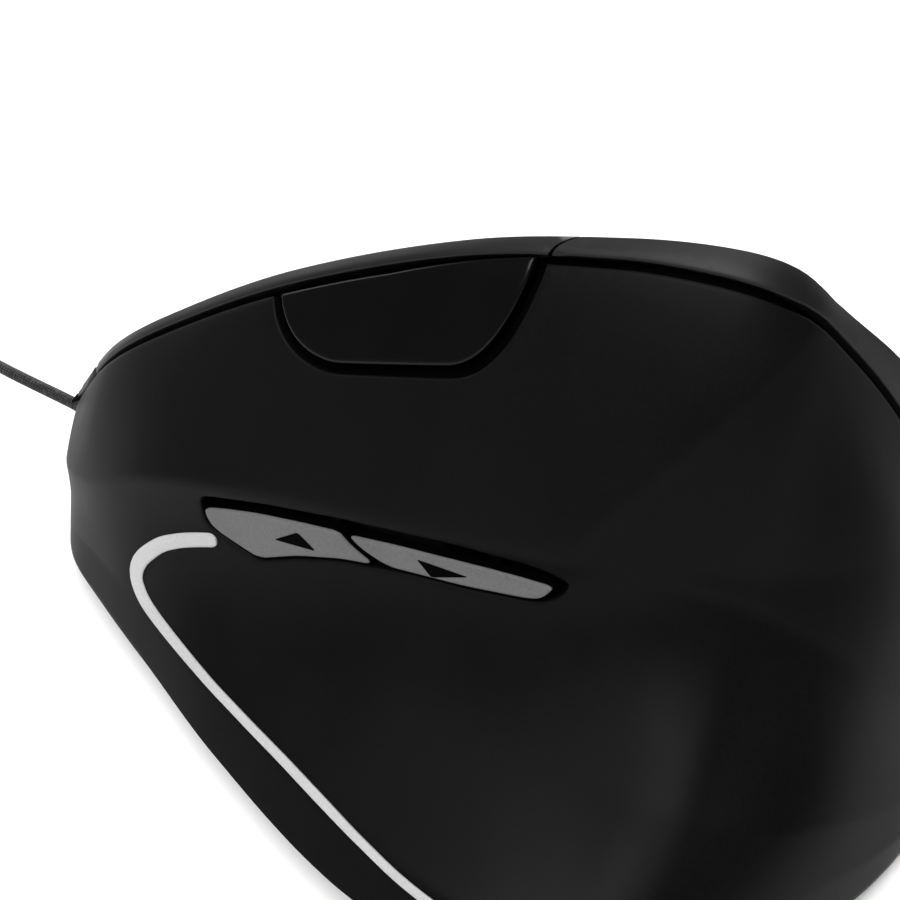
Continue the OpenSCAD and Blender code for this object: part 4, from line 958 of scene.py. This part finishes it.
satin_black = moulded("satin_black", 0.0025, 0.0045, 0.45, 0.28, 0.00035, 0.000012)
left_button = panel("left_finger_button", (NOSE_CUT_Y - HALF_GAP, lambda v: split_line(v) + SPLIT_GAP / 2),
                    (shift_v(SEAM_V, HALF_GAP), shift_v(wheel_line, -BEZEL_EDGE)), BUTTON_STEP,
                    soft_ends=(1, 0, 1, 1))
place_piece(left_button, satin_black, "left_button", "cover", "left_button")
gloss_black = moulded("polished_black", 0.001, 0.0015, 0.2, 0.16, 0.004, 0.0000005)
# The tongues block light; their near-black finish adds painted shade in the seams.
for tongue_name, y_ends, v_ends, depth in (
        ("ridge_seam_tongue", (NOSE_CUT_Y, RIDGE_TONGUE_Y), RIDGE_TONGUE_V, TONGUE_DEPTH),
        ("split_tongue", (SPLIT_Y + SPLIT_LAP, SPLIT_Y - 2 * SPLIT_LAP), (SEAM_V, TONGUE_END_V),
         TONGUE_BELOW),
        ("nose_seam_tongue", (NOSE_CUT_Y + NOSE_LAP, NOSE_CUT_Y - NOSE_LAP), (SEAM_V, TONGUE_END_V),
         TONGUE_BELOW),
        ("rest_seam_tongue", (NOSE_CUT_Y, SPLIT_Y),
         (shift_v(rest_line, -REST_LAP), shift_v(rest_line, REST_LAP)), TONGUE_DEPTH)):
    place_piece(tongue(tongue_name, y_ends, v_ends, depth), print_and_painted_shade_black, "base", "inner_plastic")
flap = panel("half_moon_flap", FLAP_Y, (FLAP_LOW_V, flap_edge), FLAP_STEP, [(MOON_FLAP, False)])
place_piece(flap, gloss_black, "left_button", "gloss_cover", "left_button_flap")


# Rear cover, finger rest and nose cap. The palm shell behind the buttons, the lower finger
# side with its shelf, and the small fixed front piece that the cord leaves through.
FIXED_GAP = 0.1
SHELL_STEP = 0.9
CAP_STEP = 0.7
CORD_HOLE_R = GLAND_R + 0.15


def cut_away(piece, cutter):
    """Cuts one closed piece out of another."""
    bpy.ops.object.select_all(action="DESELECT")
    piece.select_set(True)
    bpy.context.view_layer.objects.active = piece
    hole = piece.modifiers.new("hole", "BOOLEAN")
    hole.object = cutter
    hole.solver = "EXACT"
    bpy.ops.object.modifier_apply(modifier="hole")
    bpy.data.objects.remove(cutter)
    bpy.ops.object.shade_smooth_by_angle(angle=math.radians(40))


rear_cover = panel("palm_cover", (lambda v: split_line(v) - SPLIT_GAP / 2, -TIP_Y),
                   (shift_v(SEAM_V, HALF_GAP), SHELF_V), SHELL_STEP, soft_ends=(0, 0, 1, 0))
place_piece(rear_cover, satin_black, "base", "cover", "rear_cover")
finger_rest = panel("finger_shelf_cover", (NOSE_CUT_Y - FIXED_GAP, SPLIT_Y + FIXED_GAP),
                    (shift_v(rest_line, HALF_GAP), SHELF_V), SHELL_STEP, soft_ends=(0, 0, 1, 0))
place_piece(finger_rest, satin_black, "base", "cover", "finger_rest")
nose_cap = panel("nose_cap_cover", (TIP_Y, NOSE_CUT_Y + HALF_GAP), (shift_v(SEAM_V, HALF_GAP), SHELF_V),
                 CAP_STEP, soft_ends=(0, 1, 1, 0))
cut_away(nose_cap, turned("cord_hole", EXIT, EXIT_WAY, [[place, CORD_HOLE_R] for place in (-12, 0, 12)]))
place_piece(nose_cap, satin_black, "base", "cover", "nose_cap")


# Right button and wheel bezel. The lower finger key, and between the keys a polished strip with
# the slot of the wheel and the hole of the speed button, over a thin black tray whose near-black
# finish is painted shade seen through the slot.
BEZEL_STEP = 0.7
SLOT_W = 7.8
SLOT_L = 21.2
SLOT_R = 1.5
DPI_W = 5
DPI_L = 8
DPI_Y = -19
DPI_GAP = 0.3
DPI_HOLE_R = 1
CUT_H = 30
TRAY_HALF = 7.6
TRAY_GAP = 1.2


def face_block(name, middle, size, round_r):
    """A block with rounded corners on the finger face's own axes, in millimetres."""
    half = np.array(size) / 2
    piece = block(name, np.array(middle) - half, np.array(middle) + half)
    soften(piece, round_r, 4)
    flat = np.array([v.co for v in piece.data.vertices]) / MM
    set_points(piece, on_face(flat))
    return piece


right_button = panel("right_finger_button", (NOSE_CUT_Y - HALF_GAP, SPLIT_Y + HALF_GAP),
                     (shift_v(wheel_line, BEZEL_EDGE), shift_v(rest_line, -HALF_GAP)), BUTTON_STEP)
place_piece(right_button, satin_black, "right_button", "cover", "right_button")
bezel = panel("wheel_strip", (NOSE_CUT_Y - FIXED_GAP, SPLIT_Y + FIXED_GAP),
              (shift_v(wheel_line, HALF_GAP - BEZEL_HALF), shift_v(wheel_line, BEZEL_HALF - HALF_GAP)),
              BEZEL_STEP)
# The tray blocks light; its near-black finish is painted shade under the slot.
tray = tongue("wheel_strip_tray", (NOSE_CUT_Y, SPLIT_Y),
              (shift_v(wheel_line, -TRAY_HALF), shift_v(wheel_line, TRAY_HALF)), TONGUE_DEPTH)
for sheet, gap in ((bezel, DPI_GAP), (tray, TRAY_GAP)):
    cut_away(sheet, face_block("wheel_slot", (0, 0, 0), (SLOT_W, SLOT_L, CUT_H), SLOT_R))
    hole_size = (DPI_W + 2 * gap, DPI_L + 2 * gap, CUT_H)
    cut_away(sheet, face_block("dpi_hole", (0, DPI_Y, 0), hole_size, DPI_HOLE_R))
place_piece(bezel, gloss_black, "base", "gloss_cover", "wheel_bezel")
place_piece(tray, print_and_painted_shade_black, "base", "inner_plastic")


# Speed button. A small dark key in the strip behind the wheel, with a rounded top and a flange
# below that keeps it from falling out.
DPI_FOOT = -10.7
DPI_RISE = 0.8
DPI_R = 0.9
FLANGE_OUT = 0.8
FLANGE_T = 1.4
dpi_y = WHEEL_AT[1] + DPI_Y * FACE_Y[1]
dpi_spot = skin(dpi_y, wheel_line(dpi_y)) - CAD_WALL * skin_out(np.array(dpi_y), wheel_line(dpi_y))
dpi_top = (dpi_spot - WHEEL_AT) @ FACE_Z + CAD_WALL + DPI_RISE
dpi_key = face_block("speed_key", (0, DPI_Y, (DPI_FOOT + dpi_top) / 2), (DPI_W, DPI_L, dpi_top - DPI_FOOT),
                     DPI_R)
dpi_flange = face_block("speed_flange", (0, DPI_Y, DPI_FOOT + FLANGE_T / 2),
                        (DPI_W + 2 * FLANGE_OUT, DPI_L + 2 * FLANGE_OUT, FLANGE_T), 0.2)
join(dpi_key, dpi_flange)
key_dark = moulded("key_dark", 0.012, 0.02, 0.4, 0.4, 0.0003)
place_piece(dpi_key, key_dark, "dpi_button", "dark_plastic", "dpi_button")


# Floor and light. A plain white table top under five soft square lamps that stand above the
# mouse and round it, in a dim white room.
bpy.ops.object.select_all(action="DESELECT")
bpy.ops.mesh.primitive_plane_add(size=6)
floor = bpy.context.object
floor.name = "table_top"
table_white, tree, shader = new_finish("table_white", 0.7, 0.1)
spot = node(tree, "ShaderNodeTexCoord").outputs["Object"]
cloud = node(tree, "ShaderNodeTexNoise", Vector=spot, Scale=3.0, Detail=1.0).outputs["Fac"]
tree.links.new(ramp(tree, cloud, (0.3, 0.93), (0.7, 0.95)), shader.inputs["Base Color"])
floor.data.materials.append(table_white)


def lamp(name, at, aim, size, power):
    """A soft square lamp that faces a point."""
    bpy.ops.object.light_add(type="AREA", location=at)
    light = bpy.context.object
    light.name = name
    light.data.size = size
    light.data.energy = power
    light.rotation_euler = (Vector(aim) - Vector(at)).to_track_quat("-Z", "Y").to_euler()


lamp("top_lamp", (0.05, 0.05, 1.1), (0, 0, 0), 0.8, 6)
lamp("back_lamp", (0.95, 0.8, 0.35), (0, 0, 0.02), 0.8, 9)
lamp("front_lamp", (0.1, 1.15, 0.65), (0, 0.05, 0.02), 0.5, 3)
lamp("left_lamp", (-0.63, 0.05, 0.8), (0, 0, 0.03), 0.5, 7)
lamp("right_lamp", (1.05, -0.35, 0.6), (0, 0, 0.03), 0.6, 8)
world = bpy.data.worlds.new("studio")
world.use_nodes = True
world.node_tree.nodes["Background"].inputs["Color"].default_value = (1, 1, 1, 1)
world.node_tree.nodes["Background"].inputs["Strength"].default_value = 0.25
bpy.context.scene.world = world
bpy.context.scene.view_settings.view_transform = "Standard"
